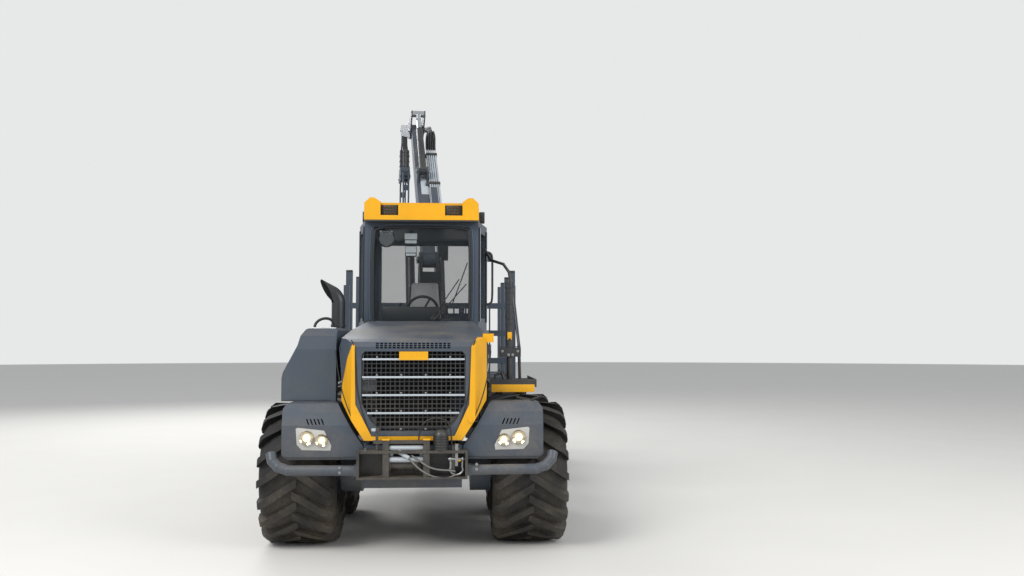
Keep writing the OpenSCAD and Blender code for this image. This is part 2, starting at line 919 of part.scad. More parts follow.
module steer_barrel(side) {
  color(black)
    mirror([0, side, 0]) {
      translate([steer_x, steer_in, pin_z - 62]) cylinder(r = 50, h = 124);
      translate([steer_x, steer_in, pin_z - 95 - 20]) cylinder(r = 24, h = 230);
      difference() {
        bar([steer_x, steer_in, pin_z], [steer_x - 560, steer_in, pin_z], 55);
        bar([steer_x - 80, steer_in, pin_z], [steer_x - 570, steer_in, pin_z], 30 + fit);
      }
    }
}

module steer_rod(side) {
  x0 = joint_x - steer_arm;
  color(steel)
    mirror([0, side, 0]) {
      translate([x0, steer_in, pin_z - 45 + fit]) cylinder(r = 45, h = 90 - 2 * fit);
      bar([x0, steer_in, pin_z], [x0 + 700, steer_in, pin_z], 30);
    }
}

// Rear half

module rear_frame() {
  color(slate) {
    difference() {
      block([joint_end - 40, -300, frame_lo + 40], [joint_end + 15, 300, deck_z - 60]);
      translate([joint_end - 50, 0, pin_z]) rotate([0, 90, 0]) cylinder(r = 120 + fit, h = 110);
    }
    difference() {
      translate([joint_end - 160, 0, pin_z]) rotate([0, 90, 0]) cylinder(r = 200, h = 140);
      translate([joint_end - 170, 0, pin_z]) rotate([0, 90, 0]) cylinder(r = 120 + fit, h = 160);
    }
    both_sides()
      side_sheet(beam_y - 60, beam_y + 60)
        polygon([
          [joint_end - 20, frame_lo + 60], [joint_end - 20, deck_z],
          [rear_x + 65, deck_z], [rear_x + 65, deck_z - 240], [bogie_r - 400, deck_z - 300],
          [crane_x - 600, deck_z - 300], [crane_x - 200, frame_lo + 60]
        ]);
    for (x = [crane_x - 420, bogie_r + 400, bogie_r - 500, rear_x + 450]) {
      block([x, -beam_y + 50, deck_z - 200], [x + 120, beam_y - 50, deck_z - 40]);
    }
    block([rear_x + 65, -beam_y - 60, deck_z - 240], [rear_x + 85, beam_y + 60, deck_z]);
    // Tow eye
    difference() {
      union() {
        block([rear_x + 70, -90, deck_z - 180], [rear_x + 140, 90, deck_z - 140]);
        translate([rear_x + 65, 0, deck_z - 180]) cylinder(r = 65, h = 40);
      }
      translate([rear_x + 38, 0, deck_z - 181]) cylinder(r = 20, h = 42);
    }
  }
}

module rear_axle() {
  color(slate) axle_beam(bogie_r, deck_z - 300);
}

module crane_base() {
  color(slate) {
    block([crane_x - 350, -beam_y - 50, deck_z], [crane_x + 350, beam_y + 50, deck_z + 40]);
    difference() {
      union() {
        translate([crane_x, 0, deck_z]) cylinder(r = 300, h = 320);
        block([crane_x - 110, -beam_y - 200, deck_z + 100], [crane_x + 110, beam_y + 200, deck_z + 290]);
      }
      translate([crane_x, 0, deck_z + 60]) cylinder(r = 150 + fit, h = 300);
    }
  }
}

module headboard() {
  color(slate) {
    both_sides()
      block([board_x - 60, bunk_half - 100, deck_z + 20], [board_x, bunk_half - 20, 2750]);
    for (y = [-450, 450]) {
      block([board_x - 60, y - 40, deck_z + 20], [board_x, y + 40, 2480]);
    }
    for (z = [deck_z, 1640, 2030, 2420]) {
      block([board_x - 60, -bunk_half + 20, z], [board_x, bunk_half - 20, z + 80]);
    }
  }
}

module bunks() {
  color(slate)
    for (x = bunk_x) {
      block([x - 70, -bunk_half, deck_z], [x + 70, bunk_half, deck_z + 150]);
      both_sides()
        block([x - 55, bunk_half - 90, deck_z + 140], [x + 55, bunk_half, stake_z]);
    }
}

// Crane

module pillar() {
  color(slate)
    at_crane() {
      translate([0, 0, deck_z + 60 + fit]) cylinder(r = 150, h = 300);
      translate([0, 0, deck_z + 330]) cylinder(r = 260, h = 50);
      translate([0, 0, deck_z + 380]) cylinder(r = 190, h = 1000);
      difference() {
        union() {
          block([-170, -130, deck_z + 1300], [170, 130, boom_z - 170]);
          both_sides()
            side_sheet(boom_w / 2 + gap, boom_w / 2 + gap + 40)
              union() {
                polygon([[-170, boom_z - 300], [170, boom_z - 300], [110, boom_z + 20], [-110, boom_z + 20]]);
                translate([0, boom_z]) circle(r = 112);
              }
        }
        cross_bar([0, 0, boom_z], 45 + fit, 400);
      }
      // Lugs for the lift cylinders
      cross_bar([lift_x, 0, lift_z], 35, 520);
      block([100, -130, lift_z - 70], [lift_x + 60, 130, lift_z + 70]);
    }
}

lift_y = boom_w / 2 + gap + 40 + 80;
eye_x = boom_foot * cos(boom_up) + boom_eye * sin(boom_up);
eye_z = boom_z + boom_foot * sin(boom_up) - boom_eye * cos(boom_up);
lift_len = norm([eye_x - lift_x, eye_z - lift_z]);
lift_dir = [eye_x - lift_x, 0, eye_z - lift_z] / lift_len;

module lift_barrels() {
  color(black)
    at_crane()
      for (y = [-lift_y, lift_y]) {
        f = [lift_x, y, lift_z];
        difference() {
          union() {
            cross_bar(f, 75, 90);
            bar(f, f + 1150 * lift_dir, 65);
          }
          cross_bar(f, 35 + fit, 160);
          bar(f + 120 * lift_dir, f + 1160 * lift_dir, 42 + fit);
        }
      }
}

module lift_rods() {
  color(steel)
    at_crane()
      for (y = [-lift_y, lift_y]) {
        f = [lift_x, y, lift_z];
        e = [eye_x, y, eye_z];
        cross_bar(e, 62, 80);
        bar(f + 500 * lift_dir, e, 42);
      }
}

module main_boom() {
  color(slate)
    at_boom()
      difference() {
        union() {
          side_sheet(-boom_w / 2, boom_w / 2)
            polygon([
              [0, -112], [200, -150], [1000, -185], [1250, -175], [boom_l - 100, -105], [boom_l, -105],
              [boom_l, 105], [boom_l - 100, 105], [1700, 140], [1000, 150], [200, 140], [0, 112]
            ]);
          for (x = [0, boom_l]) {
            cross_bar([x, 0, 0], 105, boom_w);
          }
          cross_bar([0, 0, 0], 45, 300);
          cross_bar([boom_foot, 0, -boom_eye], 60, 2 * (lift_y - 45));
          // Pipes beside the boom's top, with their clamps and guard plate
          for (i = [0 : 4]) {
            bar([700, -105 - i * 31, 178], [2350, -105 - i * 31, 178], 12);
          }
          for (x = [780, 1500, 2250]) {
            block([x, -250, 130], [x + 50, -40, 180]);
          }
          block([950, -196, 184], [1420, -100, 194]);
          // Ears of the jib cylinder
          for (y = [-85, 55]) {
            side_sheet(y, y + 30)
              polygon([[jib_foot - 130, 100], [jib_foot + 130, 100], [jib_foot + 50, jib_foot_h + 50], [jib_foot - 50, jib_foot_h + 50]]);
          }
        }
        cross_bar([boom_l, 0, 0], 45 + fit, 400);
        cross_bar([jib_foot, 0, jib_foot_h], 25 + fit, 200);
      }
}

horn_b = [
  boom_l + horn_x * cos(jib_fold) + horn_z * sin(jib_fold), 0,
  -horn_x * sin(jib_fold) + horn_z * cos(jib_fold)
];
jib_foot_p = [jib_foot, 0, jib_foot_h];
jib_len = norm(horn_b - jib_foot_p);
jib_dir = (horn_b - jib_foot_p) / jib_len;

module jib_barrel() {
  color(black)
    at_boom()
      difference() {
        union() {
          cross_bar(jib_foot_p, 55, 110 - 2 * fit);
          cross_bar(jib_foot_p, 25, 170);
          bar(jib_foot_p, jib_foot_p + 1000 * jib_dir, 50);
        }
        bar(jib_foot_p + 100 * jib_dir, jib_foot_p + 1010 * jib_dir, 35 + fit);
      }
}

module jib_rod() {
  color(steel)
    at_boom() {
      cross_bar(horn_b, 50, 2 * (boom_w / 2 + gap) - 2 * fit);
      bar(jib_foot_p + 300 * jib_dir, horn_b, 35);
    }
}

module jib() {
  color(slate)
    at_jib() {
      both_sides()
        side_sheet(boom_w / 2 + gap, boom_w / 2 + gap + 20)
          polygon([
            [horn_x - 50, horn_z - 30], [horn_x - 20, horn_z + 55], [horn_x + 50, horn_z + 55],
            [160, 150], [420, 110], [420, -110], [120, -130], [-60, -120], [-120, -40]
          ]);
      cross_bar([0, 0, 0], 45, 2 * (boom_w / 2 + gap + 10));
      difference() {
        block([215, -jib_w / 2 - 10, -jib_h / 2], [jib_l, jib_w / 2 + 10, jib_h / 2]);
        block([245, -jib_w / 2, -jib_h / 2 + 10], [jib_l + 10, jib_w / 2, jib_h / 2 - 10]);
      }
      // Wear pads in the mouth, where the extension runs
      for (s = [0, 1]) {
        mirror([0, 0, s]) block([jib_l - 80, -40, ext_h + pad_gap], [jib_l, 40, jib_h / 2 - 5]);
        mirror([0, s, 0]) block([jib_l - 80, ext_w + pad_gap, -50], [jib_l, jib_w / 2 + 5, 50]);
      }
    }
}

module extension() {
  x1 = jib_l + ext_out;
  color(steel)
    at_jib()
      difference() {
        union() {
          block([500, -ext_w, -ext_h], [x1 - ext_ear, ext_w, ext_h]);
          for (s = [0, 1]) {
            mirror([0, 0, s]) block([500, -40, ext_h - 5], [580, 40, ext_h + gap - pad_gap]);
            mirror([0, s, 0]) block([500, ext_w - 5, -50], [580, ext_w + gap - pad_gap, 50]);
          }
          for (y = [-70, 40]) {
            block([x1 - ext_ear - 5, y, -60], [x1, y + 30, 60]);
            cross_bar([x1, y + 15, 0], 60, 30);
          }
        }
        cross_bar([x1, 0, 0], 30 + fit, 200);
      }
}

// Top of the grapple and the pins of its tongs
grapple_z = -820;
tong_y = 220;
tong_z = -100;

module at_grapple() {
  at_hang() translate([0, 0, grapple_z]) rotate([0, 0, -90]) children();
}

module at_hang() {
  at_crane() translate([hang_x, 0, hang_z]) children();
}

module hanger() {
  color(slate)
    at_hang() {
      cross_bar([0, 0, 0], 30, 140);
      block([-40, -39, -400], [40, 39, 0]);
      translate([0, 0, -440]) cylinder(r = 90, h = 50);
    }
}

module rotator() {
  color(black)
    at_hang() {
      translate([0, 0, -740]) cylinder(r = 90, h = 300 - gap);
      translate([0, 0, -445]) cylinder(r = 50, h = 5);
    }
}

module grapple_frame() {
  color(slate)
    at_grapple() {
      block([-90, -190, 0], [90, 190, 80]);
      difference() {
        for (x = [-90, 67]) {
          front_sheet(x, x + 23)
            polygon([[-280, -160], [280, -160], [280, -60], [190, 40], [-190, 40], [-280, -60]]);
        }
        both_sides()
          translate([-100, tong_y, tong_z]) rotate([0, 90, 0]) cylinder(r = 22 + fit, h = 200);
      }
    }
}

// A tong on the rear side of the parked grapple, or with s = 1 on its front side.
module tong(s) {
  color(slate)
    at_grapple()
      mirror([0, s, 0]) {
        for (x = [-60, 35]) {
          front_sheet(x, x + 25)
            difference() {
              union() {
                intersection() {
                  translate([30, -430]) circle(r = 480);
                  polygon([[20, -930], [700, -930], [700, -40], [150, -50]]);
                }
                polygon([[330, -60], [430, -60], [520, -260], [480, -330]]);
              }
              translate([0, -410]) circle(r = 410);
            }
        }
        translate([-62, tong_y, tong_z]) rotate([0, 90, 0]) cylinder(r = 45, h = 124);
        translate([-100, tong_y, tong_z]) rotate([0, 90, 0]) cylinder(r = 22, h = 200);
        // Cross plates between the two blades
        block([-60, 430, -400], [60, 470, -300]);
        block([-60, 300, -760], [60, 330, -690]);
      }
}

// Drawing

front_frame();
front_axle();
engine();
side_cowl();
exhaust();
front_fenders();
lamps();
bumper_tubes();
winch();
access();
cab_shell();
cab_roof();
cab_glass();
seat();
console();
hood();
grille();
hood_stripes();
door();
door_glass();
bogie(bogie_f);  // bogie_front_left
mirror([0, 1, 0]) bogie(bogie_f);  // bogie_front_right
bogie(bogie_r);  // bogie_rear_left
mirror([0, 1, 0]) bogie(bogie_r);  // bogie_rear_right
wheel(1, 0);  // wheel_1_left
wheel(1, 1);  // wheel_1_right
wheel(2, 0);  // wheel_2_left
wheel(2, 1);  // wheel_2_right
wheel(3, 0);  // wheel_3_left
wheel(3, 1);  // wheel_3_right
wheel(4, 0);  // wheel_4_left
wheel(4, 1);  // wheel_4_right
centre_joint();
steer_barrel(0);  // steer_barrel_left
steer_barrel(1);  // steer_barrel_right
steer_rod(0);  // steer_rod_left
steer_rod(1);  // steer_rod_right
rear_frame();
rear_axle();
headboard();
bunks();
crane_base();
pillar();
lift_barrels();
lift_rods();
main_boom();
jib_barrel();
jib_rod();
jib();
extension();
hanger();
rotator();
grapple_frame();
tong(0);  // tong_rear
tong(1);  // tong_front
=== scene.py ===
"""Looks of a forestry forwarder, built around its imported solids.

The file is laid out as an add-on and is run as a script. Lengths are metres,
+X is the front, +Y the machine's left and +Z up.
"""

import math

import bmesh
import bpy
from mathutils import Matrix, Vector


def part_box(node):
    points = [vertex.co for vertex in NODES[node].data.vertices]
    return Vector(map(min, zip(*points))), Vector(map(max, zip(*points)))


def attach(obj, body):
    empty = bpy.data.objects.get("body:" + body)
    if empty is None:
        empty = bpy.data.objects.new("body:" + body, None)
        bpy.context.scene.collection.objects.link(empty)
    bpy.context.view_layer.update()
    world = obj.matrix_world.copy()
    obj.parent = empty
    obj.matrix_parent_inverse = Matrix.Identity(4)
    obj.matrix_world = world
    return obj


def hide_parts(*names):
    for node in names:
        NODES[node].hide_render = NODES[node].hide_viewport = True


bl_info = {
    "name": "Forestry Forwarder Looks",
    "version": (1, 0, 0),
    "blender": (4, 5, 0),
    "location": "View3D > Sidebar > Forwarder",
    "description": "Dresses the solids of an eight-wheel forestry forwarder",
    "category": "Object",
}

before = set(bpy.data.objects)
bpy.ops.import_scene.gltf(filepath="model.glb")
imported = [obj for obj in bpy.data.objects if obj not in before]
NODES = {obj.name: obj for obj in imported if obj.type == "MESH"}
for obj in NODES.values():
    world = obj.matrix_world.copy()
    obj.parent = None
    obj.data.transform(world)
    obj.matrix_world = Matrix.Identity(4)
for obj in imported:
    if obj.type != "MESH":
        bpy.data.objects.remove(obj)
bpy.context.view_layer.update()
SIDES = (("left", 1), ("right", -1))
X_AXIS, Y_AXIS, Z_AXIS = (1, 0, 0), (0, 1, 0), (0, 0, 1)
# Materials by short name, made at the first call of stuff
LATE = {}
# Stations of the pairs of stakes and of the bogies' middles, height of the wheels' centres
STAKES = (-0.60, -1.97, -3.34, -4.60)
BOGIES = (("front", 3.230), ("rear", -1.970))
AXLE_Z = 0.67


# Colours and nodes


def linear(code):
    """Turns an sRGB hex value into a linear colour."""
    parts = [int(code[i : i + 2], 16) / 255 for i in (1, 3, 5)]
    return tuple(p / 12.92 if p <= 0.04045 else ((p + 0.055) / 1.055) ** 2.4 for p in parts)


def dimmed(colour, share):
    return tuple(c * share for c in colour)


def feed(tree, node, values):
    """Sets a node's properties and inputs, and links inputs to other nodes' outputs."""
    for key, value in values.items():
        if isinstance(key, str) and hasattr(node, key):
            setattr(node, key, value)
        elif isinstance(value, bpy.types.NodeSocket):
            tree.links.new(value, node.inputs[key])
        else:
            node.inputs[key].default_value = value


def add(tree, kind, values=None):
    """Adds a shader node with its values and links."""
    node = tree.nodes.new("ShaderNode" + kind)
    feed(tree, node, values or {})
    return node


def noise(tree, place, scale, detail, rough=0.5):
    return add(tree, "TexNoise", {"Vector": place, "Scale": scale, "Detail": detail,
                                  "Roughness": rough}).outputs["Fac"]


def wave(tree, place, scale, band):
    return add(tree, "TexWave", {"Vector": place, "Scale": scale,
                                 "bands_direction": band}).outputs["Fac"]


def span(tree, value, low, high, to_low, to_high):
    """Maps the range of a value from low to high onto another range."""
    return add(tree, "MapRange", {"Value": value, "From Min": low, "From Max": high,
                                  "To Min": to_low, "To Max": to_high}).outputs["Result"]


def product(tree, one, other, clamp=False):
    return add(tree, "Math", {"operation": "MULTIPLY", "use_clamp": clamp, 0: one,
                              1: other}).outputs["Value"]


def mix(tree, share, first, second, blend="MIX"):
    """Mixes two colours, each a triple or another node's output."""
    one, other = ((*c, 1.0) if isinstance(c, tuple) else c for c in (first, second))
    return add(tree, "Mix", {"data_type": "RGBA", "blend_type": blend, "Factor": share, 6: one,
                             7: other}).outputs[2]


def bump(tree, height, strength, distance, under=None):
    """A bumped normal, over another normal where there is one."""
    values = {"Height": height, "Strength": strength, "Distance": distance}
    if under:
        values["Normal"] = under
    return add(tree, "Bump", values).outputs["Normal"]


def blank(name):
    """A new material, its nodes, its shader and the coordinates for its pattern."""
    mat = bpy.data.materials.new(name)
    mat.use_nodes = True
    tree = mat.node_tree
    tree.nodes.clear()
    shader = add(tree, "BsdfPrincipled")
    add(tree, "OutputMaterial", {"Surface": shader.outputs["BSDF"]})
    return mat, tree, shader, add(tree, "TexCoord").outputs["Object"]


# Property groups


def tone_property(name, text, code):
    """A colour that a user can change, with its default as an sRGB hex value."""
    return bpy.props.FloatVectorProperty(name=name, description=text, subtype="COLOR", size=3,
                                         min=0, max=1, default=linear(code))


class ForwarderColours(bpy.types.PropertyGroup):
    """Paints and other finishes that a user would change."""

    slate: tone_property("Slate paint", "Main paint of frame, hood and crane", "#3d4855")
    yellow: tone_property("Yellow paint", "Hood stripes, roof and small parts", "#eeab00")
    black: tone_property("Black paint", "Grille, handrails and brackets", "#24272b")
    pipe: tone_property("Pipe grey", "Light paint of pipes and rollers", "#b9c0c6")
    dust: tone_property("Forest dust", "Dry soil on tyres and ledges", "#8a7d69")
    # The seat's default is near-white, lighter than its grey cloth: painted light that makes up for
    # the dim light inside the cab
    seat: tone_property("Seat fabric", "Grey cloth of the driver's seat", "#eceeef")


class ForwarderSizes(bpy.types.PropertyGroup):
    """Sizes of the small parts that are added to the solids."""

    lug_height: bpy.props.FloatProperty(
        name="Tread lug height", description="How far a lug stands out of the casing",
        unit="LENGTH", min=0.01, max=0.08, default=0.045)
    hose: bpy.props.FloatProperty(
        name="Hose diameter", description="Hydraulic hose on crane and winch",
        unit="LENGTH", min=0.01, max=0.05, default=0.032)
    rope: bpy.props.FloatProperty(
        name="Rope diameter", description="Winch rope",
        unit="LENGTH", min=0.006, max=0.03, default=0.018)


class ForwarderStage(bpy.types.PropertyGroup):
    """Camera, floor and lamps."""

    eye: bpy.props.FloatVectorProperty(
        name="Camera place", description="Where the camera stands",
        subtype="TRANSLATION", unit="LENGTH", size=3, default=(13.45, 0.40, 1.91))
    turn: bpy.props.FloatVectorProperty(
        name="Camera turn", description="Rotation of the camera",
        subtype="EULER", unit="ROTATION", size=3,
        default=(math.radians(93.4), 0.0, math.radians(86.75)))
    lens: bpy.props.FloatProperty(
        name="Lens", description="Focal length on a 36 mm sensor, in millimetres",
        min=10, max=200, default=33.4)
    floor: tone_property("Floor", "Pale floor", "#d9d7d2")


# Materials


def dusty(tree, place, colour, dust, amount, low, high):
    """Colour under dust that lies on ledges and thickens from one height down to another.

    Gives the fine specks, the share that dust covers and the colour of both.
    """
    patch = noise(tree, place, 2.6, 6.0, 0.62)
    speck = noise(tree, place, 34.0, 5.0, 0.7)
    normal = add(tree, "NewGeometry").outputs["Normal"]
    upward, height = (add(tree, "SeparateXYZ", {"Vector": v}).outputs["Z"]
                      for v in (normal, place))
    ledge = span(tree, upward, 0.35, 1.0, 0.0, 0.55)
    ground = span(tree, height, high, low, 0.0, 0.6)
    both = add(tree, "Math", {"operation": "ADD", 0: ledge, 1: ground}).outputs["Value"]
    cover = product(tree, both, span(tree, patch, 0.38, 0.68, 0.15, 1.25))
    cover = product(tree, cover, span(tree, speck, 0.35, 0.65, 0.55, 1.1))
    cover = product(tree, cover, amount, clamp=True)
    tone = mix(tree, patch, colour, (0.72, 0.74, 0.76), "MULTIPLY")
    return speck, cover, mix(tree, cover, tone, dust)


def enamel(name, colour, dust, gloss, amount):
    """Sprayed enamel on steel: satin gloss, faint orange peel, dust on ledges."""
    mat, tree, shader, place = blank(name)
    speck, cover, skin = dusty(tree, place, colour, dust, amount, 0.5, 2.2)
    peel = bump(tree, noise(tree, place, 420.0, 2.0), 0.06, 0.001)
    feed(tree, shader, {"Base Color": skin,
                        "Roughness": span(tree, cover, 0.0, 1.0, gloss, 0.92),
                        "Normal": bump(tree, speck, 0.15, 0.002, peel),
                        "Coat Weight": 0.12, "Coat Roughness": 0.18})
    return mat


def moulded(name, colour, dust, gloss, amount, grain):
    """Moulded plastic or rubber: an even skin with a pebbled grain."""
    mat, tree, shader, place = blank(name)
    _, cover, skin = dusty(tree, place, colour, dust, amount, 0.1, 1.6)
    pebble = add(tree, "TexVoronoi", {"Vector": place, "Scale": 1 / grain}).outputs["Distance"]
    feed(tree, shader, {"Base Color": skin,
                        "Roughness": span(tree, cover, 0.0, 1.0, gloss, 0.95),
                        "Normal": bump(tree, pebble, 0.25, grain * 0.4)})
    return mat


def metal(name, colour, rough, brush):
    """Machined or plated steel: bright, with fine turning marks."""
    mat, tree, shader, place = blank(name)
    stretch = add(tree, "Mapping", {"Vector": place, "Scale": brush}).outputs["Vector"]
    marks = noise(tree, stretch, 60.0, 4.0)
    film = noise(tree, place, 5.0, 5.0)
    feed(tree, shader, {"Base Color": mix(tree, film, colour, dimmed(colour, 0.72)),
                        "Roughness": span(tree, marks, 0.0, 1.0, rough * 0.7, rough * 1.5),
                        "Normal": bump(tree, marks, 0.08, 0.0006), "Metallic": 1.0})
    return mat


def tinted_glass(name, tint, cover):
    """Toughened glass or clear plastic: its tint, how much it holds back, some dust."""
    mat, tree, shader, place = blank(name)
    haze = span(tree, noise(tree, place, 6.0, 6.0, 0.7), 0.45, 0.8, 0.02, 0.12)
    feed(tree, shader, {"Base Color": (*tint, 1.0), "Roughness": haze, "IOR": 1.5,
                        "Alpha": cover})
    return mat


def glowing(name, colour, strength):
    """A lamp or screen that is on, or a face whose glow is a painted highlight, with fine flutes
    across its light.
    """
    mat, tree, shader, place = blank(name)
    tone = mix(tree, wave(tree, place, 24.0, "Y"), colour, dimmed(colour, 0.8))
    feed(tree, shader, {"Base Color": tone, "Emission Color": tone,
                        "Emission Strength": strength, "Roughness": 0.2})
    return mat


def woven(name, colour):
    """Seat cloth: a fine plain weave with two tones of yarn."""
    mat, tree, shader, place = blank(name)
    cross = product(tree, wave(tree, place, 160.0, "Y"), wave(tree, place, 160.0, "Z"))
    yarn = mix(tree, cross, dimmed(colour, 0.85), colour)
    wear = noise(tree, place, 7.0, 5.0)
    feed(tree, shader, {"Base Color": mix(tree, wear, yarn, (0.86, 0.85, 0.83), "MULTIPLY"),
                        "Normal": bump(tree, cross, 0.4, 0.001), "Roughness": 0.9,
                        "Sheen Weight": 0.25})
    return mat


def make_materials():
    """Every material, named for what it is really made of, and for the light or shade that it
    paints where it paints some.
    """
    c = bpy.context.scene.forwarder_colours
    dust = tuple(c.dust)
    return {
        # Sprayed slate enamel gives the machine its dark blue-grey body
        "slate": enamel("slate_enamel", tuple(c.slate), dust, 0.46, 0.55),
        # Sprayed yellow enamel, glossier and cleaner, gives the bright stripes
        "yellow": enamel("yellow_enamel", tuple(c.yellow), dust, 0.34, 0.08),
        # Black enamel on brackets, tubes and the crane's lower parts
        "black": enamel("black_enamel", tuple(c.black), dust, 0.42, 0.6),
        # Pale zinc paint on pipes and rollers; thin strips of it on the cab's posts are painted
        # highlights
        "pipe": enamel("zinc_paint_and_highlight", tuple(c.pipe), dust, 0.38, 0.35),
        # Moulded tyre rubber, dusty and matte
        "rubber": moulded("tyre_rubber", linear("#17181a"), dust, 0.72, 0.5, 0.004),
        # Braided hose rubber
        "hose": moulded("hose_rubber", linear("#1d1f22"), dust, 0.55, 0.25, 0.002),
        # Moulded black plastic of the cab's inside and the lamps' bodies
        "plastic": moulded("moulded_plastic", linear("#2a2c2f"), dust, 0.5, 0.2, 0.0025),
        # Hard-chromed rods
        "chrome": metal("hard_chrome", linear("#d6dadd"), 0.14, (1.0, 1.0, 12.0)),
        # Cast and machined steel of pins, shackles and bolts
        "steel": metal("machined_steel", linear("#a8a9a8"), 0.36, (3.0, 3.0, 3.0)),
        # Tinted safety glass, dark against the cab's dark inside
        "glass": tinted_glass("safety_glass", (0.02, 0.026, 0.028), 0.20),
        # Moulded white plastic of the headlamp pods, glossy
        "gloss_white": moulded("white_plastic", linear("#c3c1ba"), dust, 0.2, 0.12, 0.004),
        # Vacuum-plated reflector bowls
        "reflector": metal("plated_reflector", linear("#d8c8a8"), 0.08, (1.0, 1.0, 1.0)),
        # Headlamps that are switched on
        "lit": glowing("halogen_lamp", linear("#ffdfae"), 1.5),
        # Clear polycarbonate lamp covers
        "lens": tinted_glass("polycarbonate_lens", (0.75, 0.80, 0.80), 0.16),
        # Red lenses of the tail lamps
        "red_lens": moulded("red_acrylic", linear("#8d1a16"), dust, 0.15, 0.15, 0.006),
        # Woven grey cloth of the driver's seat, its colour painted near-white as painted light for
        # the dim inside of the cab
        "cloth": woven("seat_cloth", tuple(c.seat)),
        # Liquid-crystal screens that are switched on, their glow partly a painted highlight; on the
        # keys and the mirror's clip the glow is a painted highlight
        "screen_and_glare": glowing("lcd_screen_and_painted_glare", linear("#c9d2d6"), 0.5),
        # Silvered mirror
        "mirror": metal("silvered_glass", linear("#9fa3a4"), 0.05, (1.0, 1.0, 1.0)),
        # Galvanized steel wire rope, greasy
        "rope": metal("wire_rope", linear("#8f8d88"), 0.5, (40.0, 40.0, 40.0)),
        # Soot inside the exhaust; on the engine, seen through the grille, this near-black is
        # painted shade inside the hood
        "soot_and_shade": moulded("soot_and_painted_shade", linear("#0d0d0e"), dust, 0.9, 0.05, 0.003),
        # Amber-tinted lamp cells behind louvres
        "amber": moulded("amber_plastic", linear("#4a3a1a"), dust, 0.2, 0.1, 0.004),
    }


def stuff(name):
    """A material by its short name."""
    if not LATE:
        LATE.update(make_materials())
    return LATE[name]


# Shapes


def ridden(name, data, body):
    """An object for a mesh or curve, which rides on a body."""
    obj = bpy.data.objects.new(name, data)
    bpy.context.scene.collection.objects.link(obj)
    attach(obj, body)
    return obj


def piece(name, bm, mats, body, slot, stands_for=(), smooth=40.0, at=None):
    """Makes a bmesh, placed by a matrix where there is one, an object that rides on a body."""
    if at:
        bmesh.ops.transform(bm, matrix=at, verts=bm.verts)
    bmesh.ops.remove_doubles(bm, verts=bm.verts, dist=1e-5)
    bmesh.ops.recalc_face_normals(bm, faces=bm.faces)
    mesh = bpy.data.meshes.new(name)
    bm.to_mesh(mesh)
    bm.free()
    for mat in mats:
        mesh.materials.append(stuff(mat))
    mesh.shade_smooth()
    mesh.set_sharp_from_angle(angle=math.radians(smooth))
    obj = ridden(name, mesh, body)
    if stands_for:
        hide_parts(*stands_for)
    return obj


def rounded(bm, edges, offset, segments=2):
    bmesh.ops.bevel(bm, geom=list(edges), offset=offset, affect="EDGES", segments=segments,
                    profile=0.5, material=-1)


def brick(bm, low, high, edge):
    """A box between two corners, with rounded edges."""
    low, high = Vector(low), Vector(high)
    move = Matrix.Translation((low + high) / 2)
    made = bmesh.ops.create_cube(bm, size=1.0, matrix=move @ Matrix.Diagonal((*(high - low), 1.0)))
    rounded(bm, {e for v in made["verts"] for e in v.link_edges}, edge)


def many(shape, name, mat, body, slot, rows, **more):
    """One piece of like shapes: the function of the shape, and its values for each."""
    bm = bmesh.new()
    for row in rows:
        shape(bm, *row)
    piece(name, bm, [mat], body, slot, **more)


def facing(axis):
    """Turns local +Z to an axis."""
    return Vector(axis).to_track_quat("Z", "Y").to_matrix().to_4x4()


def drum(bm, start, end, radius, sides=24, edge=0.0, mat=0, tip=None):
    """A round bar between two points, with its rims rounded."""
    start, end = Vector(start), Vector(end)
    move = Matrix.Translation((start + end) / 2) @ facing(end - start)
    made = bmesh.ops.create_cone(bm, cap_ends=True, segments=sides, radius1=radius,
                                 radius2=radius if tip is None else tip,
                                 depth=(end - start).length, matrix=move)
    faces = {f for v in made["verts"] for f in v.link_faces}
    for f in faces:
        f.material_index = mat
    if edge:
        rounded(bm, {e for f in faces if len(f.verts) > 4 for e in f.edges}, edge)


def turned(bm, outline, centre, axis, steps=48):
    """Spins an outline of (along, radius) pairs about an axis."""
    verts = [bm.verts.new((r, 0.0, a)) for a, r in outline]
    edges = [bm.edges.new(pair) for pair in zip(verts, verts[1:])]
    before = set(bm.faces)
    bmesh.ops.spin(bm, geom=verts + edges, cent=(0, 0, 0), axis=Z_AXIS, angle=math.tau,
                   steps=steps, use_merge=True)
    made = list({v for f in bm.faces if f not in before for v in f.verts})
    bmesh.ops.transform(bm, matrix=Matrix.Translation(Vector(centre)) @ facing(axis), verts=made)


def sweep(name, runs, radius, mat, body, bend=6):
    """Round pipes or hoses that follow runs of points, as one piece."""
    curve = bpy.data.curves.new(name, "CURVE")
    curve.dimensions = "3D"
    curve.bevel_depth = radius
    curve.bevel_resolution = 4
    curve.resolution_u = bend
    curve.use_fill_caps = True
    for run in runs:
        line = curve.splines.new("NURBS")
        line.points.add(len(run) - 1)
        for point, co in zip(line.points, run):
            point.co = (*co, 1.0)
        line.use_endpoint_u = True
        line.order_u = 3
    shape = bpy.data.objects.new(name + "_line", curve)
    bpy.context.scene.collection.objects.link(shape)
    bpy.context.view_layer.update()
    mesh = bpy.data.meshes.new_from_object(shape.evaluated_get(
        bpy.context.evaluated_depsgraph_get()))
    bpy.data.objects.remove(shape)
    bpy.data.curves.remove(curve)
    mesh.name = name
    mesh.materials.clear()
    mesh.materials.append(stuff(mat))
    mesh.shade_smooth()
    ridden(name, mesh, body)


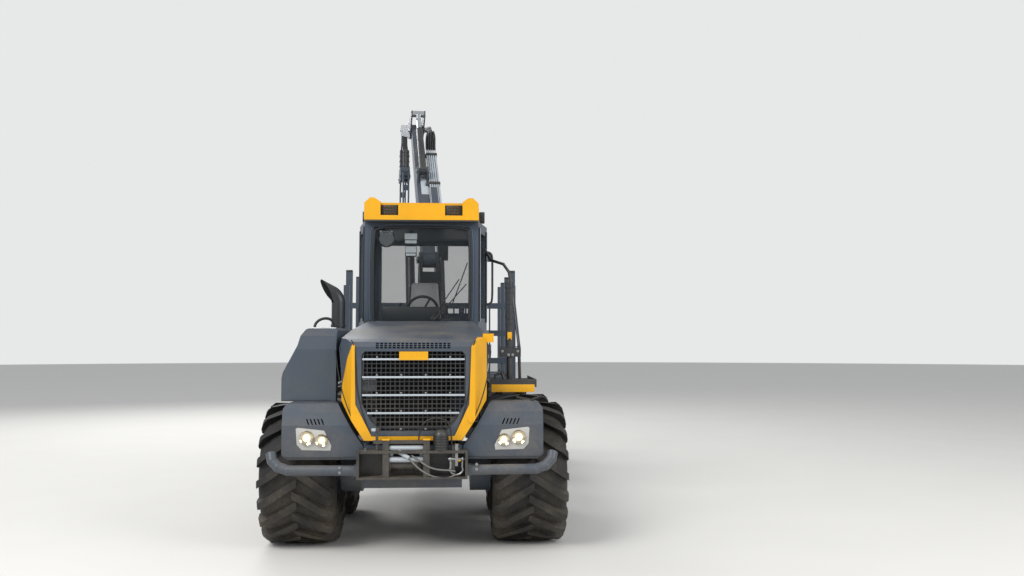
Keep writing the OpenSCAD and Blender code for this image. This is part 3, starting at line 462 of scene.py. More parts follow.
def plate(bm, outline, low, high, edge):
    """A sheet between two stations on X, cut to an outline of (Y, Z) points."""
    verts = [bm.verts.new((low, y, z)) for y, z in outline]
    grown = bmesh.ops.extrude_face_region(bm, geom=[bm.faces.new(verts)])["geom"]
    moved = [v for v in grown if isinstance(v, bmesh.types.BMVert)]
    bmesh.ops.translate(bm, vec=(high - low, 0, 0), verts=moved)
    faces = {f for v in verts + moved for f in v.link_faces}
    rounded(bm, {e for f in faces if len(f.verts) > 4 for e in f.edges}, edge)


def bolt(bm, place, axis, radius, mat=0):
    """A hexagon head on its washer."""
    place, axis = Vector(place), Vector(axis).normalized()
    drum(bm, place - axis * 0.002, place + axis * 0.003, radius * 1.35, sides=16, mat=mat)
    drum(bm, place + axis * 0.003, place + axis * (0.003 + radius * 0.8), radius, sides=6,
         edge=radius * 0.12, mat=mat)


def bolt_ring(bm, centre, axis, ring, count, size, start=0.0, mat=0):
    """Bolts at even steps on a circle about the Y or Z axis."""
    for i in range(count):
        a = math.tau * i / count + start
        c, s = ring * math.cos(a), ring * math.sin(a)
        bolt(bm, Vector(centre) + Vector((c, 0, s) if axis[1] else (c, s, 0)), axis, size, mat)


def shaped(bm, move):
    """A block cut into slices along X, whose points a function of three shares places."""
    bmesh.ops.create_cube(bm, size=1.0)
    runs = [e for e in bm.edges if abs(e.verts[0].co.x - e.verts[1].co.x) > 0.5]
    bmesh.ops.subdivide_edges(bm, edges=runs, cuts=5, use_grid_fill=True)
    for v in bm.verts:
        v.co = move(v.co.x + 0.5, v.co.y * 2, v.co.z + 0.5)


def along(path, t):
    """A point at share t of a list of pairs."""
    at = min(max(t, 0.0), 1.0) * (len(path) - 1)
    i = min(int(at), len(path) - 2)
    k = at - i
    return [a + (b - a) * k for a, b in zip(path[i], path[i + 1])]


# Operators


class FORWARDER_OT_stage(bpy.types.Operator):
    """Camera at the photograph's place, pale floor and soft lamps"""

    bl_idname = "forwarder.stage"
    bl_label = "Stage"

    def execute(self, context):
        s = context.scene.forwarder_stage
        cam = bpy.data.cameras.new("camera")
        cam.lens = s.lens
        cam.sensor_width = 36
        cam.clip_end = 400
        eye = bpy.data.objects.new("camera", cam)
        eye.location = s.eye
        eye.rotation_euler = s.turn
        context.scene.collection.objects.link(eye)
        context.scene.camera = eye

        bm = bmesh.new()
        bmesh.ops.create_circle(bm, cap_ends=True, segments=64, radius=90.0)
        mesh = bpy.data.meshes.new("floor")
        bm.to_mesh(mesh)
        bm.free()
        floor = bpy.data.objects.new("floor", mesh)
        context.scene.collection.objects.link(floor)
        # Cast concrete, pale and even, so that the shadow shows on it
        mat, tree, shader, place = blank("cast_concrete")
        cloud = noise(tree, place, 0.8, 5.0)
        tone = mix(tree, cloud, tuple(s.floor), dimmed(s.floor, 0.94))
        feed(tree, shader, {"Base Color": tone, "Roughness": 0.85})
        mesh.materials.append(mat)

        world = bpy.data.worlds.new("studio")
        world.use_nodes = True
        tree = world.node_tree
        tree.nodes.clear()
        # The backdrop that the camera sees and the dimmer, bluer light on the machine
        seen = add(tree, "Background", {"Color": (0.80, 0.81, 0.81, 1), "Strength": 1.0})
        lit = add(tree, "Background", {"Color": (0.93, 0.96, 1.0, 1), "Strength": 0.62})
        ray = add(tree, "LightPath").outputs["Is Camera Ray"]
        pick = add(tree, "MixShader", {0: ray, 1: lit.outputs[0], 2: seen.outputs[0]})
        add(tree, "OutputWorld", {"Surface": pick.outputs[0]})
        context.scene.world = world
        # Lamp name, place, target, size and power in watts
        lamps = (
            ("key", (14.0, -9.0, 13.0), (1.0, 0.0, 2.0), 9.0, 2200.0),
            ("fill", (12.0, 11.0, 7.0), (2.0, 0.0, 1.5), 8.0, 900.0),
            ("back", (-12.0, -6.0, 12.0), (0.0, 0.0, 3.0), 8.0, 1500.0),
        )
        for name, place, target, size, power in lamps:
            lamp = bpy.data.lights.new(name, "AREA")
            lamp.shape = "DISK"
            lamp.size = size
            lamp.energy = power
            obj = bpy.data.objects.new(name, lamp)
            obj.location = place
            aim = Vector(target) - Vector(place)
            obj.rotation_euler = aim.to_track_quat("-Z", "Y").to_euler()
            context.scene.collection.objects.link(obj)
        context.scene.view_settings.view_transform = "Standard"
        return {"FINISHED"}


class FORWARDER_OT_paint(bpy.types.Operator):
    """Gives each solid its real finish, and the engine a near-black that is painted shade"""

    bl_idname = "forwarder.paint"
    bl_label = "Paint the solids"

    def execute(self, context):
        finish = {
            "yellow": ("cab_roof", "hood_stripes"),
            "black": ("grille", "access", "winch", "exhaust", "pillar", "rotator",
                      "lift_barrels", "jib_barrel", "steer_barrel_left", "steer_barrel_right",
                      "centre_joint", "hanger"),
            "chrome": ("lift_rods", "jib_rod", "steer_rod_left", "steer_rod_right"),
            "glass": ("cab_glass", "door_glass"),
            "plastic": ("console", "seat"),
            # The engine's near-black is painted shade inside the hood, behind the grille
            "soot_and_shade": ("engine",),
            "pipe": ("lamps",),
        }
        chosen = {node: mat for mat, nodes in finish.items() for node in nodes}
        for name, obj in NODES.items():
            mat = "rubber" if name.startswith("wheel_") else chosen.get(name, "slate")
            for slot in obj.material_slots:
                slot.material = stuff(mat)
        return {"FINISHED"}


# Lugs in each of a tyre's two rows, and metres that a lug leans round the tyre
LUGS = 19
LUG_SWEEP = 0.25


def tyre_mesh(lug_height):
    """A tyre about the Y axis, its casing and rings turned, its lugs in two offset rows."""
    low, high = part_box("wheel_1_left")
    outer = AXLE_Z - low.z
    half = (high.y - low.y) / 2
    ground = outer - lug_height
    # Outer and inner edge of a lug from the crown to the side wall: across, radius
    crest = [(-0.014, outer), (0.10, outer), (0.20, outer), (half - 0.06, outer - 0.002),
             (half - 0.018, outer - 0.035), (half - 0.002, outer - 0.085),
             (half - 0.004, outer - 0.14)]
    root = [(-0.014, ground - 0.01), (0.10, ground - 0.01), (0.19, ground - 0.012),
            (half - 0.10, ground - 0.02), (half - 0.065, ground - 0.04),
            (half - 0.035, ground - 0.07), (half - 0.022, outer - 0.145)]
    # Half section of the casing from bead to crown
    case = [(half - 0.070, 0.335), (half - 0.040, 0.352), (half - 0.022, 0.372),
            (half - 0.008, 0.41), (half - 0.004, 0.46), (half - 0.010, 0.51),
            (half - 0.028, 0.56), (half - 0.07, 0.598), (half - 0.14, ground - 0.008),
            (0.10, ground)]
    tyre = bmesh.new()
    turned(tyre, case + [(-a, r) for a, r in reversed(case)], (0, 0, 0), Y_AXIS, 96)
    # Raised rings on the side walls
    for sign in (1, -1):
        turned(tyre, [(sign * (half - inset), r) for inset, r in (
            (0.02, 0.392), (0.001, 0.397), (0.001, 0.405), (0.014, 0.410))],
            (0, 0, 0), Y_AXIS, 96)

    def lug(t, across, up):
        """A lug's point: share from crown to wall, share across it, share of its height."""
        y0, r0 = along(crest, t)
        y1, r1 = along(root, t)
        y, r = y1 + (y0 - y1) * up, r1 + (r0 - r1) * up
        width = (0.031 + 0.014 * t) * (1.0 - 0.12 * up)
        angle = (LUG_SWEEP * max(y, 0.0) / half + across * width) / outer
        return Vector((r * math.sin(angle), y, r * math.cos(angle)))

    for i in range(2 * LUGS):
        one = bmesh.new()
        shaped(one, lug)
        rounded(one, [e for e in one.edges
                      if all(math.hypot(v.co.x, v.co.z) > ground for v in e.verts)
                      and len(e.link_faces) == 2 and e.calc_face_angle(0) > 0.6], 0.008)
        # The rounding must not reach past the tyre's radius
        for v in one.verts:
            share = min(1.0, outer / math.hypot(v.co.x, v.co.z))
            v.co *= Vector((share, 1, share))
        if i % 2:
            bmesh.ops.scale(one, vec=(1, -1, 1), verts=one.verts)
        bmesh.ops.rotate(one, cent=(0, 0, 0), verts=one.verts,
                         matrix=Matrix.Rotation(math.pi * i / LUGS, 3, "Y"))
        bmesh.ops.recalc_face_normals(one, faces=one.faces)
        mesh = bpy.data.meshes.new("lug")
        one.to_mesh(mesh)
        one.free()
        tyre.from_mesh(mesh)
        bpy.data.meshes.remove(mesh)
    bmesh.ops.remove_doubles(tyre, verts=tyre.verts, dist=1e-5)
    return stored("tyre", tyre)


def rim_mesh():
    """A rim and hub about the Y axis, with wheel nuts, hub bolts and valve stem."""
    rim = bmesh.new()
    # Section from the inner hub round both bead seats to the outer hub: along, radius
    turned(rim, [
        (-0.165, 0.125), (-0.165, 0.23), (-0.12, 0.25), (-0.12, 0.31), (-0.28, 0.31),
        (-0.300, 0.346), (-0.314, 0.346), (-0.314, 0.334), (-0.285, 0.330), (-0.2, 0.322),
        (0.2, 0.322), (0.285, 0.330), (0.314, 0.334), (0.314, 0.346), (0.300, 0.346),
        (0.28, 0.315), (0.10, 0.312), (0.06, 0.30), (0.045, 0.275), (0.030, 0.235),
        (0.044, 0.225), (0.045, 0.185), (0.06, 0.178), (0.142, 0.168), (0.152, 0.16),
        (0.162, 0.150), (0.168, 0.128), (0.168, 0.070), (0.180, 0.062), (0.182, 0.050),
        (0.182, 0.0)], (0, 0, 0), Y_AXIS, 72)
    bolt_ring(rim, (0, 0.045, 0), Y_AXIS, 0.205, 20, 0.014, mat=1)
    bolt_ring(rim, (0, 0.166, 0), Y_AXIS, 0.140, 12, 0.009, mat=1)
    drum(rim, (0.285, 0.05, 0.0), (0.295, 0.12, 0.0), 0.008, sides=12, mat=1)
    return stored("rim", rim)


def stored(name, bm):
    """Keeps a bmesh as a mesh to copy from."""
    bmesh.ops.recalc_face_normals(bm, faces=bm.faces)
    mesh = bpy.data.meshes.new(name)
    bm.to_mesh(mesh)
    bm.free()
    return mesh


class FORWARDER_OT_wheels(bpy.types.Operator):
    """Lugged flotation tyres on bolted rims"""

    bl_idname = "forwarder.wheels"
    bl_label = "Wheels"

    def execute(self, context):
        tyre = tyre_mesh(context.scene.forwarder_sizes.lug_height)
        parts = (("tyre", tyre, ["rubber"], "rubber"),
                 ("rim", rim_mesh(), ["slate", "steel"], "dark_paint"))
        for n in (1, 2, 3, 4):
            for side, sign in SIDES:
                node = f"wheel_{n}_{side}"
                a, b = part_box(node)
                centre = Vector(((a.x + b.x) / 2, (a.y + b.y) / 2, AXLE_Z))
                # Each wheel has stopped at an angle of its own
                turn = Matrix.Rotation(math.radians(23 * n + 7 * sign), 3, "Y")
                for kind, source, mats, slot in parts:
                    bm = bmesh.new()
                    bm.from_mesh(source)
                    bmesh.ops.scale(bm, vec=(1, sign, 1), verts=bm.verts)
                    bmesh.ops.rotate(bm, cent=(0, 0, 0), matrix=turn, verts=bm.verts)
                    bmesh.ops.translate(bm, vec=centre, verts=bm.verts)
                    piece(f"{kind}_{n}_{side}", bm, mats, node, slot,
                          stands_for=(node,) if kind == "tyre" else (), smooth=35)
        return {"FINISHED"}


class FORWARDER_OT_hood(bpy.types.Operator):
    """Bars and bolts of the grille and gaskets of the stripes"""

    bl_idname = "forwarder.hood"
    bl_label = "Hood trim"

    def execute(self, context):
        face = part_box("hood")[1].x
        # Rows of the grille's bars and bolts
        low, step = 1.130, 0.1615
        rows = []
        for i in range(1, 5):
            y, z = 0.415 if i == 1 else 0.462, low + step * i
            rows.append(((face - 0.012, -y, z - 0.009), (face + 0.001, y, z + 0.009), 0.003))
        many(brick, "grille_bars", "pipe", "hood", "bare_steel", rows)
        many(bolt, "grille_bolts", "steel", "hood", "bare_steel", [
            ((face - 0.006, y, low + 0.020 + step * i), X_AXIS, 0.007)
            for y in (-0.33, -0.11, 0.11, 0.33) for i in range(5) if i or abs(y) < 0.3])
        # Rubber gasket along both edges of each stripe and under the grille
        x = face + 0.004
        inner = [(0.372, 1.085), (0.505, 1.370), (0.522, 1.890), (0.560, 1.950)]
        outer = [(0.440, 1.048), (0.665, 1.395), (0.700, 1.850)]
        runs = [[(x, sign * y, z) for y, z in line]
                for _, sign in SIDES for line in (inner, outer)]
        runs.append([(x, y, 1.085) for y in (-0.36, 0.0, 0.36)])
        sweep("stripe_gasket", runs, 0.005, "hose", "hood")
        return {"FINISHED"}


# Half outline of a headlamp pod: Y, Z
POD = [(0.742, 0.955), (1.000, 0.960), (1.045, 1.010), (1.055, 1.150), (1.040, 1.162),
       (0.800, 1.135), (0.735, 1.000)]


class FORWARDER_OT_lamps(bpy.types.Operator):
    """Headlamp pods in the fenders and louvred lamps in the roof"""

    bl_idname = "forwarder.lamps"
    bl_label = "Lamps"

    def execute(self, context):
        x = 4.750
        pods, bowls, lenses, bulbs = (bmesh.new() for _ in range(4))
        for _, sign in SIDES:
            rim = [(y * sign, z) for y, z in POD]
            plate(pods, rim, x - 0.05, x - 0.012, 0.006)
            plate(pods, rim, x - 0.012, x + 0.002, 0.004)
            # Outer and inner lamp: place and radius
            for y, z, r in ((0.955, 1.070, 0.056), (0.820, 1.048, 0.048)):
                y *= sign
                turned(bowls, [(0.004, 0.0), (0.006, 0.3 * r), (0.014, 0.75 * r), (0.022, r),
                               (0.026, r + 0.006), (0.0, r + 0.010)],
                       (x - 0.002, y, z), X_AXIS, 36)
                drum(bulbs, (x, y, z), (x + 0.014, y, z), 0.62 * r, 32, 0.004)
                turned(lenses, [(0.028, 0.0), (0.027, 0.6 * r), (0.022, 0.98 * r)],
                       (x - 0.001, y, z), X_AXIS, 36)
        piece("headlamp_pods", pods, ["gloss_white"], "front", "lamp_glass", stands_for=("lamps",))
        piece("headlamp_bowls", bowls, ["reflector"], "front", "rod_steel")
        piece("headlamp_bulbs", bulbs, ["lit"], "front", "lamp_glass")
        piece("headlamp_lenses", lenses, ["lens"], "front", "lamp_glass")
        roof, amber = bmesh.new(), bmesh.new()
        x, z = 3.052, 3.372
        for _, sign in SIDES:
            y = sign * 0.352
            brick(roof, (x - 0.05, y - 0.088, z - 0.058), (x + 0.052, y + 0.088, z + 0.058), 0.008)
            for i in range(3):
                for j in range(4):
                    a = (x + 0.050, y - 0.058 + j * 0.030, z - 0.044 + i * 0.032)
                    brick(amber, a, (a[0] + 0.006, a[1] + 0.026, a[2] + 0.024), 0.002)
        piece("roof_lamp_bodies", roof, ["plastic"], "front", "plastic")
        piece("roof_lamp_cells", amber, ["amber"], "front", "lamp_glass")
        return {"FINISHED"}


class FORWARDER_OT_winch(bpy.types.Operator):
    """Fairlead, boot, shackle and fittings on the winch box"""

    bl_idname = "forwarder.winch"
    bl_label = "Winch"

    def execute(self, context):
        x = 4.890
        rows = [((x, -0.205, z), (x, 0.096, z), 0.0262, 32, 0.004) for z in (0.890, 0.992)]
        rows += [((x - 0.03, y, 0.912), (x - 0.03, y, 0.970), 0.02, 24, 0.003)
                 for y in (-0.19, 0.08)]
        many(drum, "fairlead_rollers", "pipe", "front", "bare_steel", rows)
        pads = bmesh.new()
        for y in (-0.262, 0.098):
            brick(pads, (4.862, y - 0.006, 1.0605), (4.934, y + 0.061, 1.076), 0.004)
        drum(pads, (4.90, 0.392, 0.885), (4.90, 0.428, 0.885), 0.018, 6, 0.003)
        brick(pads, (4.795, 0.498, 1.200), (4.81, 0.53, 1.245), 0.003)
        piece("winch_yellow", pads, ["yellow"], "front", "yellow_paint")
        # Folded boot: height and radius of its ribs and cap
        ribs = [(0.0, 0.070)]
        for i in range(5):
            z = 0.012 + i * 0.024
            ribs += [(z, 0.070), (z + 0.008, 0.067), (z + 0.016, 0.070)]
        ribs += [(0.135, 0.066), (0.155, 0.056), (0.172, 0.040), (0.184, 0.020), (0.188, 0.0)]
        many(turned, "rubber_boot", "hose", "front", "rubber",
             [(ribs, (4.878, 0.250, 0.969), Z_AXIS)])
        many(drum, "pin_knob", "pipe", "front", "bare_steel",
             [((4.90, -0.34, 1.14), (4.90, -0.34, 1.1665), 0.026, 24, 0.006)])
        # Bow shackle, its round part a half circle with the feet drawn in
        x, y = 4.905, 0.391
        bow = [(x, y - 0.055, 0.895)]
        for i in range(15):
            a = math.pi * i / 14
            wide = 0.062 * (0.8 if i in (0, 14) else 1.0)
            bow.append((x, y - wide * math.cos(a), 0.815 - 0.062 * math.sin(a)))
        bow.append((x, y + 0.055, 0.895))
        sweep("shackle_bow", [bow], 0.0115, "steel", "front", bend=4)
        lug = bmesh.new()
        # The shackle's pin and its two eyes: Y from and to, radius, edge
        for y0, y1, r, edge in ((0.318, 0.462, 0.013, 0.002), (0.328, 0.346, 0.022, 0.003),
                                (0.436, 0.454, 0.022, 0.003)):
            drum(lug, (x, y0, 0.892), (x, y1, 0.892), r, 20, edge)
        brick(lug, (4.88, 0.378, 0.83), (4.92, 0.404, 1.012), 0.004)
        drum(lug, (4.90, y, 1.006), (4.90, y, 1.026), 0.024, 6, 0.003)
        piece("shackle_pin", lug, ["steel"], "front", "bare_steel")
        return {"FINISHED"}


# The crane as it is parked: turned back over the load, boom up 45 degrees, jib down 13
CRANE_X = 0.6
BOOM_Z, BOOM_LENGTH, BOOM_ANGLE = 3.05, 3.2, math.radians(45)
JIB_LENGTH, JIB_ANGLE = 2.93, math.radians(13)
REACH = BOOM_LENGTH * math.cos(BOOM_ANGLE)
CRANE = Matrix.Translation((CRANE_X, 0, 0)) @ Matrix.Rotation(math.radians(187), 4, "Z")
BOOM = CRANE @ Matrix.Translation((0, 0, BOOM_Z)) @ Matrix.Rotation(-BOOM_ANGLE, 4, "Y")
JIB = CRANE @ Matrix.Translation((REACH, 0, BOOM_Z + REACH)) @ Matrix.Rotation(-JIB_ANGLE, 4, "Y")
HANG = CRANE @ Matrix.Translation((REACH + JIB_LENGTH * math.cos(JIB_ANGLE), 0,
                                   BOOM_Z + REACH + JIB_LENGTH * math.sin(JIB_ANGLE)))


def placed(arm, points):
    return [tuple(arm @ Vector(p)) for p in points]


def pin_ends(bm, arm, x, z, half, radius, thick, sides, head):
    """Both end discs of a pin across an arm, each with its bolt."""
    for sign in (1, -1):
        start, end = (arm @ Vector((x, sign * (half + d), z)) for d in (0.0, thick))
        drum(bm, start, end, radius, sides, 0.003)
        bolt(bm, end, end - start, head)


class FORWARDER_OT_crane(bpy.types.Operator):
    """Steel pipes, hoses, clamps and pins of the crane"""

    bl_idname = "forwarder.crane"
    bl_label = "Crane fittings"

    def execute(self, context):
        r = context.scene.forwarder_sizes.hose / 2
        # Across and above the boom: its five pipes. Then across: the hoses beside the pins
        rows = [-0.105 - 0.031 * i for i in range(5)]
        top = 0.178
        sides = [-0.160 - 0.022 * i for i in range(5)]
        pipes = [placed(BOOM, [(x, y, top) for x in (0.64, 1.5, 2.42)]) for y in rows]
        sweep("boom_pipes", pipes, 0.0128, "pipe", "boom")
        hoses = []
        for i, (y, side) in enumerate(zip(rows, sides)):
            lift = 0.025 * (i % 3)
            # From the pipes over the boom's end to the jib's pin
            hoses.append(placed(BOOM, [(2.40, y, top), (2.50, y, 0.185),
                                       (2.66, y - 0.01, 0.235 + lift),
                                       (2.82, side + 0.02, 0.22 + lift), (3.02, side, 0.12),
                                       (BOOM_LENGTH, side, 0.0)]))
            # From the pipes back to the pillar
            hoses.append(placed(BOOM, [(0.66, y, top), (0.50, y, 0.185),
                                       (0.28, y * 0.95, 0.24 + lift), (0.08, side, 0.20),
                                       (0.0, side, 0.0)]))
        sweep("boom_hoses", hoses, r, "hose", "boom")
        jib = []
        for i, side in enumerate(sides):
            drop = 0.034 * i
            jib.append(placed(JIB, [(0.0, side, 0.0), (0.16, side, 0.02),
                                    (0.34, side * 0.96, 0.05 + 0.012 * i),
                                    (0.60, -0.125 - 0.004 * i, 0.075 - drop),
                                    (1.40, -0.115, 0.068 - drop), (2.20, -0.115, 0.068 - drop),
                                    (2.34, -0.112, 0.05 - 0.026 * i)]))
        sweep("jib_hoses", jib, r, "hose", "jib")
        drops = []
        for i in range(4):
            y = -0.045 + 0.03 * i
            drops.append(placed(HANG, [(0.045, y, -0.05), (0.075, y, -0.14), (0.085, y, -0.26),
                                       (0.078, y * 1.3, -0.36), (0.062, y * 1.3, -0.392)]))
        sweep("hanger_hoses", drops, r * 0.8, "hose", "hanger")

        clamps, pins = bmesh.new(), bmesh.new()
        for x in (0.78, 1.50, 2.25):
            for y in rows:
                brick(clamps, (x + 0.002, y - 0.0148, 0.174), (x + 0.048, y + 0.0148, 0.197), 0.004)
                bolt(pins, (x + 0.025, y + 0.0155, 0.202), Z_AXIS, 0.005)
            brick(clamps, (x - 0.002, -0.252, 0.196), (x + 0.052, -0.086, 0.202), 0.002)
        brick(clamps, (0.68, -0.246, 0.1545), (2.30, -0.088, 0.1595), 0.001)
        piece("boom_clamps", clamps, ["black"], "boom", "black_paint", at=BOOM)
        many(brick, "boom_plates", "pipe", "boom", "bare_steel", [
            ((1.30, -0.078, 0.1455), (2.16, 0.03, 0.152), 0.002),
            ((0.30, -0.075, 0.1455), (0.74, 0.065, 0.152), 0.002)], at=BOOM)
        bmesh.ops.transform(pins, matrix=BOOM, verts=pins.verts)
        # Pins at the pillar, the jib and the lift rods: X, Z, half width, radius
        for x, z, half, radius in ((0.0, 0.0, 0.1505, 0.052), (BOOM_LENGTH, 0.0, 0.1105, 0.050),
                                   (1.7, 0.27, 0.0855, 0.030)):
            pin_ends(pins, BOOM, x, z, half, radius, 0.010, 32, 0.012)
        piece("boom_pins", pins, ["steel"], "boom", "bare_steel")
        many(pin_ends, "hang_pin", "steel", "extension", "bare_steel",
             [(JIB, JIB_LENGTH, 0.0, 0.0705, 0.034, 0.008, 24, 0.010)])
        many(brick, "jib_clamps", "black", "jib", "black_paint", [
            ((x, -0.128, -0.088), (x + 0.03, -0.1005, 0.088), 0.004)
            for x in (0.70, 1.45, 2.18)], at=JIB)
        many(bolt_ring, "hanger_bolts", "steel", "hanger", "bare_steel",
             [((0, 0, -0.3895), Z_AXIS, 0.074, 10, 0.008)], at=HANG)
        ring = [(-0.012, 0.089), (-0.010, 0.097), (0.010, 0.097), (0.012, 0.089)]
        many(turned, "rotator_rings", "black", "rotator", "black_paint",
             [(ring, HANG @ Vector((0, 0, z)), Z_AXIS) for z in (-0.70, -0.60, -0.50)])
        return {"FINISHED"}


# Frames of the cloth run that blows up a foam pad
FOAM_FRAMES = 20


def stuffed(name, bm, mats, body, slot, cap, stands_for=()):
    """A foam pad: the closed form, blown up by cloth pressure no further than the cap."""
    obj = piece(name, bm, mats, body, slot, stands_for=stands_for, smooth=180)
    scene = bpy.context.scene
    work = bpy.data.objects.new(name + "_work", obj.data.copy())
    scene.collection.objects.link(work)

    def settle():
        bpy.context.view_layer.update()
        result = bpy.data.meshes.new_from_object(
            work.evaluated_get(bpy.context.evaluated_depsgraph_get()))
        work.modifiers.clear()
        work.data = result

    mod = work.modifiers.new("skin", "REMESH")
    mod.mode = "VOXEL"
    mod.voxel_size = 0.008
    settle()
    start = [v.co.copy() for v in work.data.vertices]
    mod = work.modifiers.new("foam", "CLOTH")
    mod.settings.quality = 5
    mod.settings.use_pressure = True
    mod.settings.uniform_pressure_force = 4
    mod.settings.effector_weights.gravity = 0
    mod.point_cache.frame_start = 1
    mod.point_cache.frame_end = FOAM_FRAMES
    for frame_no in range(1, FOAM_FRAMES + 1):
        scene.frame_set(frame_no)
    settle()
    for v, at in zip(work.data.vertices, start):
        step = v.co - at
        if step.length > cap:
            v.co = at + step * (cap / step.length)
    scene.frame_set(1)
    work.modifiers.new("smooth", "SUBSURF").levels = 1
    settle()
    mesh = work.data
    bpy.data.objects.remove(work)
    mesh.name = name
    mesh.materials.clear()
    for mat in mats:
        mesh.materials.append(stuff(mat))
    mesh.shade_smooth()
    obj.data = mesh


def cushion(bm, low, high, edge, taper=0.0, crown=0.0):
    """A pad's closed form: rounded box, narrower at its top, its front crowned."""
    bmesh.ops.create_cube(bm, size=1.0)
    bmesh.ops.subdivide_edges(bm, edges=bm.edges[:], cuts=7, use_grid_fill=True)
    low, high = Vector(low), Vector(high)
    size = high - low
    for v in bm.verts:
        u = v.co.copy()
        pinch = 1.0 - taper * (u.z + 0.5)
        bulge = crown * (1 - (2 * u.y) ** 2) * (1 - (2 * u.z) ** 2)
        v.co = Vector((low.x + size.x * (u.x + 0.5) + (bulge if u.x > 0.49 else 0.0),
                       (low.y + high.y) / 2 + size.y * u.y * pinch, low.z + size.z * (u.z + 0.5)))
    rounded(bm, [e for e in bm.edges if e.calc_face_angle(0) > 1.0], edge, 3)


class FORWARDER_OT_seat(bpy.types.Operator):
    """Driver's seat with foam pads, armrests and control levers"""

    bl_idname = "forwarder.seat"
    bl_label = "Seat"

    def execute(self, context):
        bm = bmesh.new()
        cushion(bm, (1.975, -0.215, 1.975), (2.455, 0.215, 2.085), 0.03, crown=0.012)
        stuffed("seat_pad", bm, ["cloth"], "front", "seat_fabric", 0.012, stands_for=("seat",))
        bm = bmesh.new()
        cushion(bm, (1.925, -0.215, 2.10), (2.020, 0.215, 2.66), 0.032, taper=0.24, crown=0.016)
        stuffed("back_pad", bm, ["cloth"], "front", "seat_fabric", 0.012)
        bm = bmesh.new()
        turned(bm, [(0.0, 0.14), (0.03, 0.14), (0.05, 0.10), (0.30, 0.10), (0.33, 0.16),
                    (0.38, 0.16)], (2.2, 0.0, 1.602), Z_AXIS, 40)
        brick(bm, (1.960, -0.225, 1.955), (2.440, 0.225, 1.985), 0.012)
        brick(bm, (1.912, -0.19, 1.98), (1.935, 0.19, 2.62), 0.010)
        # Armrests with their posts and levers
        for y in (0.27, -0.27):
            brick(bm, (2.05, y - 0.035, 2.20), (2.42, y + 0.035, 2.25), 0.018)
            brick(bm, (2.00, y - 0.02, 2.00), (2.06, y + 0.02, 2.23), 0.010)
            drum(bm, (2.39, y, 2.24), (2.40, y, 2.34), 0.016, 20, 0.003, tip=0.012)
            turned(bm, [(0.0, 0.0), (0.004, 0.018), (0.03, 0.028), (0.055, 0.022), (0.066, 0.0)],
                   (2.40, y, 2.33), Z_AXIS, 24)
        piece("seat_frame", bm, ["plastic"], "front", "plastic")
        # Sewn seams on the pads
        seams = []
        for y in (-0.105, 0.105):
            seams.append([(2.0365, y, 2.16), (2.040, y, 2.38), (2.034, y * 0.85, 2.60)])
            seams.append([(2.03, y, 2.0935), (2.22, y, 2.0985), (2.42, y, 2.094)])
        sweep("seat_seams", seams, 0.0025, "hose", "front")
        return {"FINISHED"}


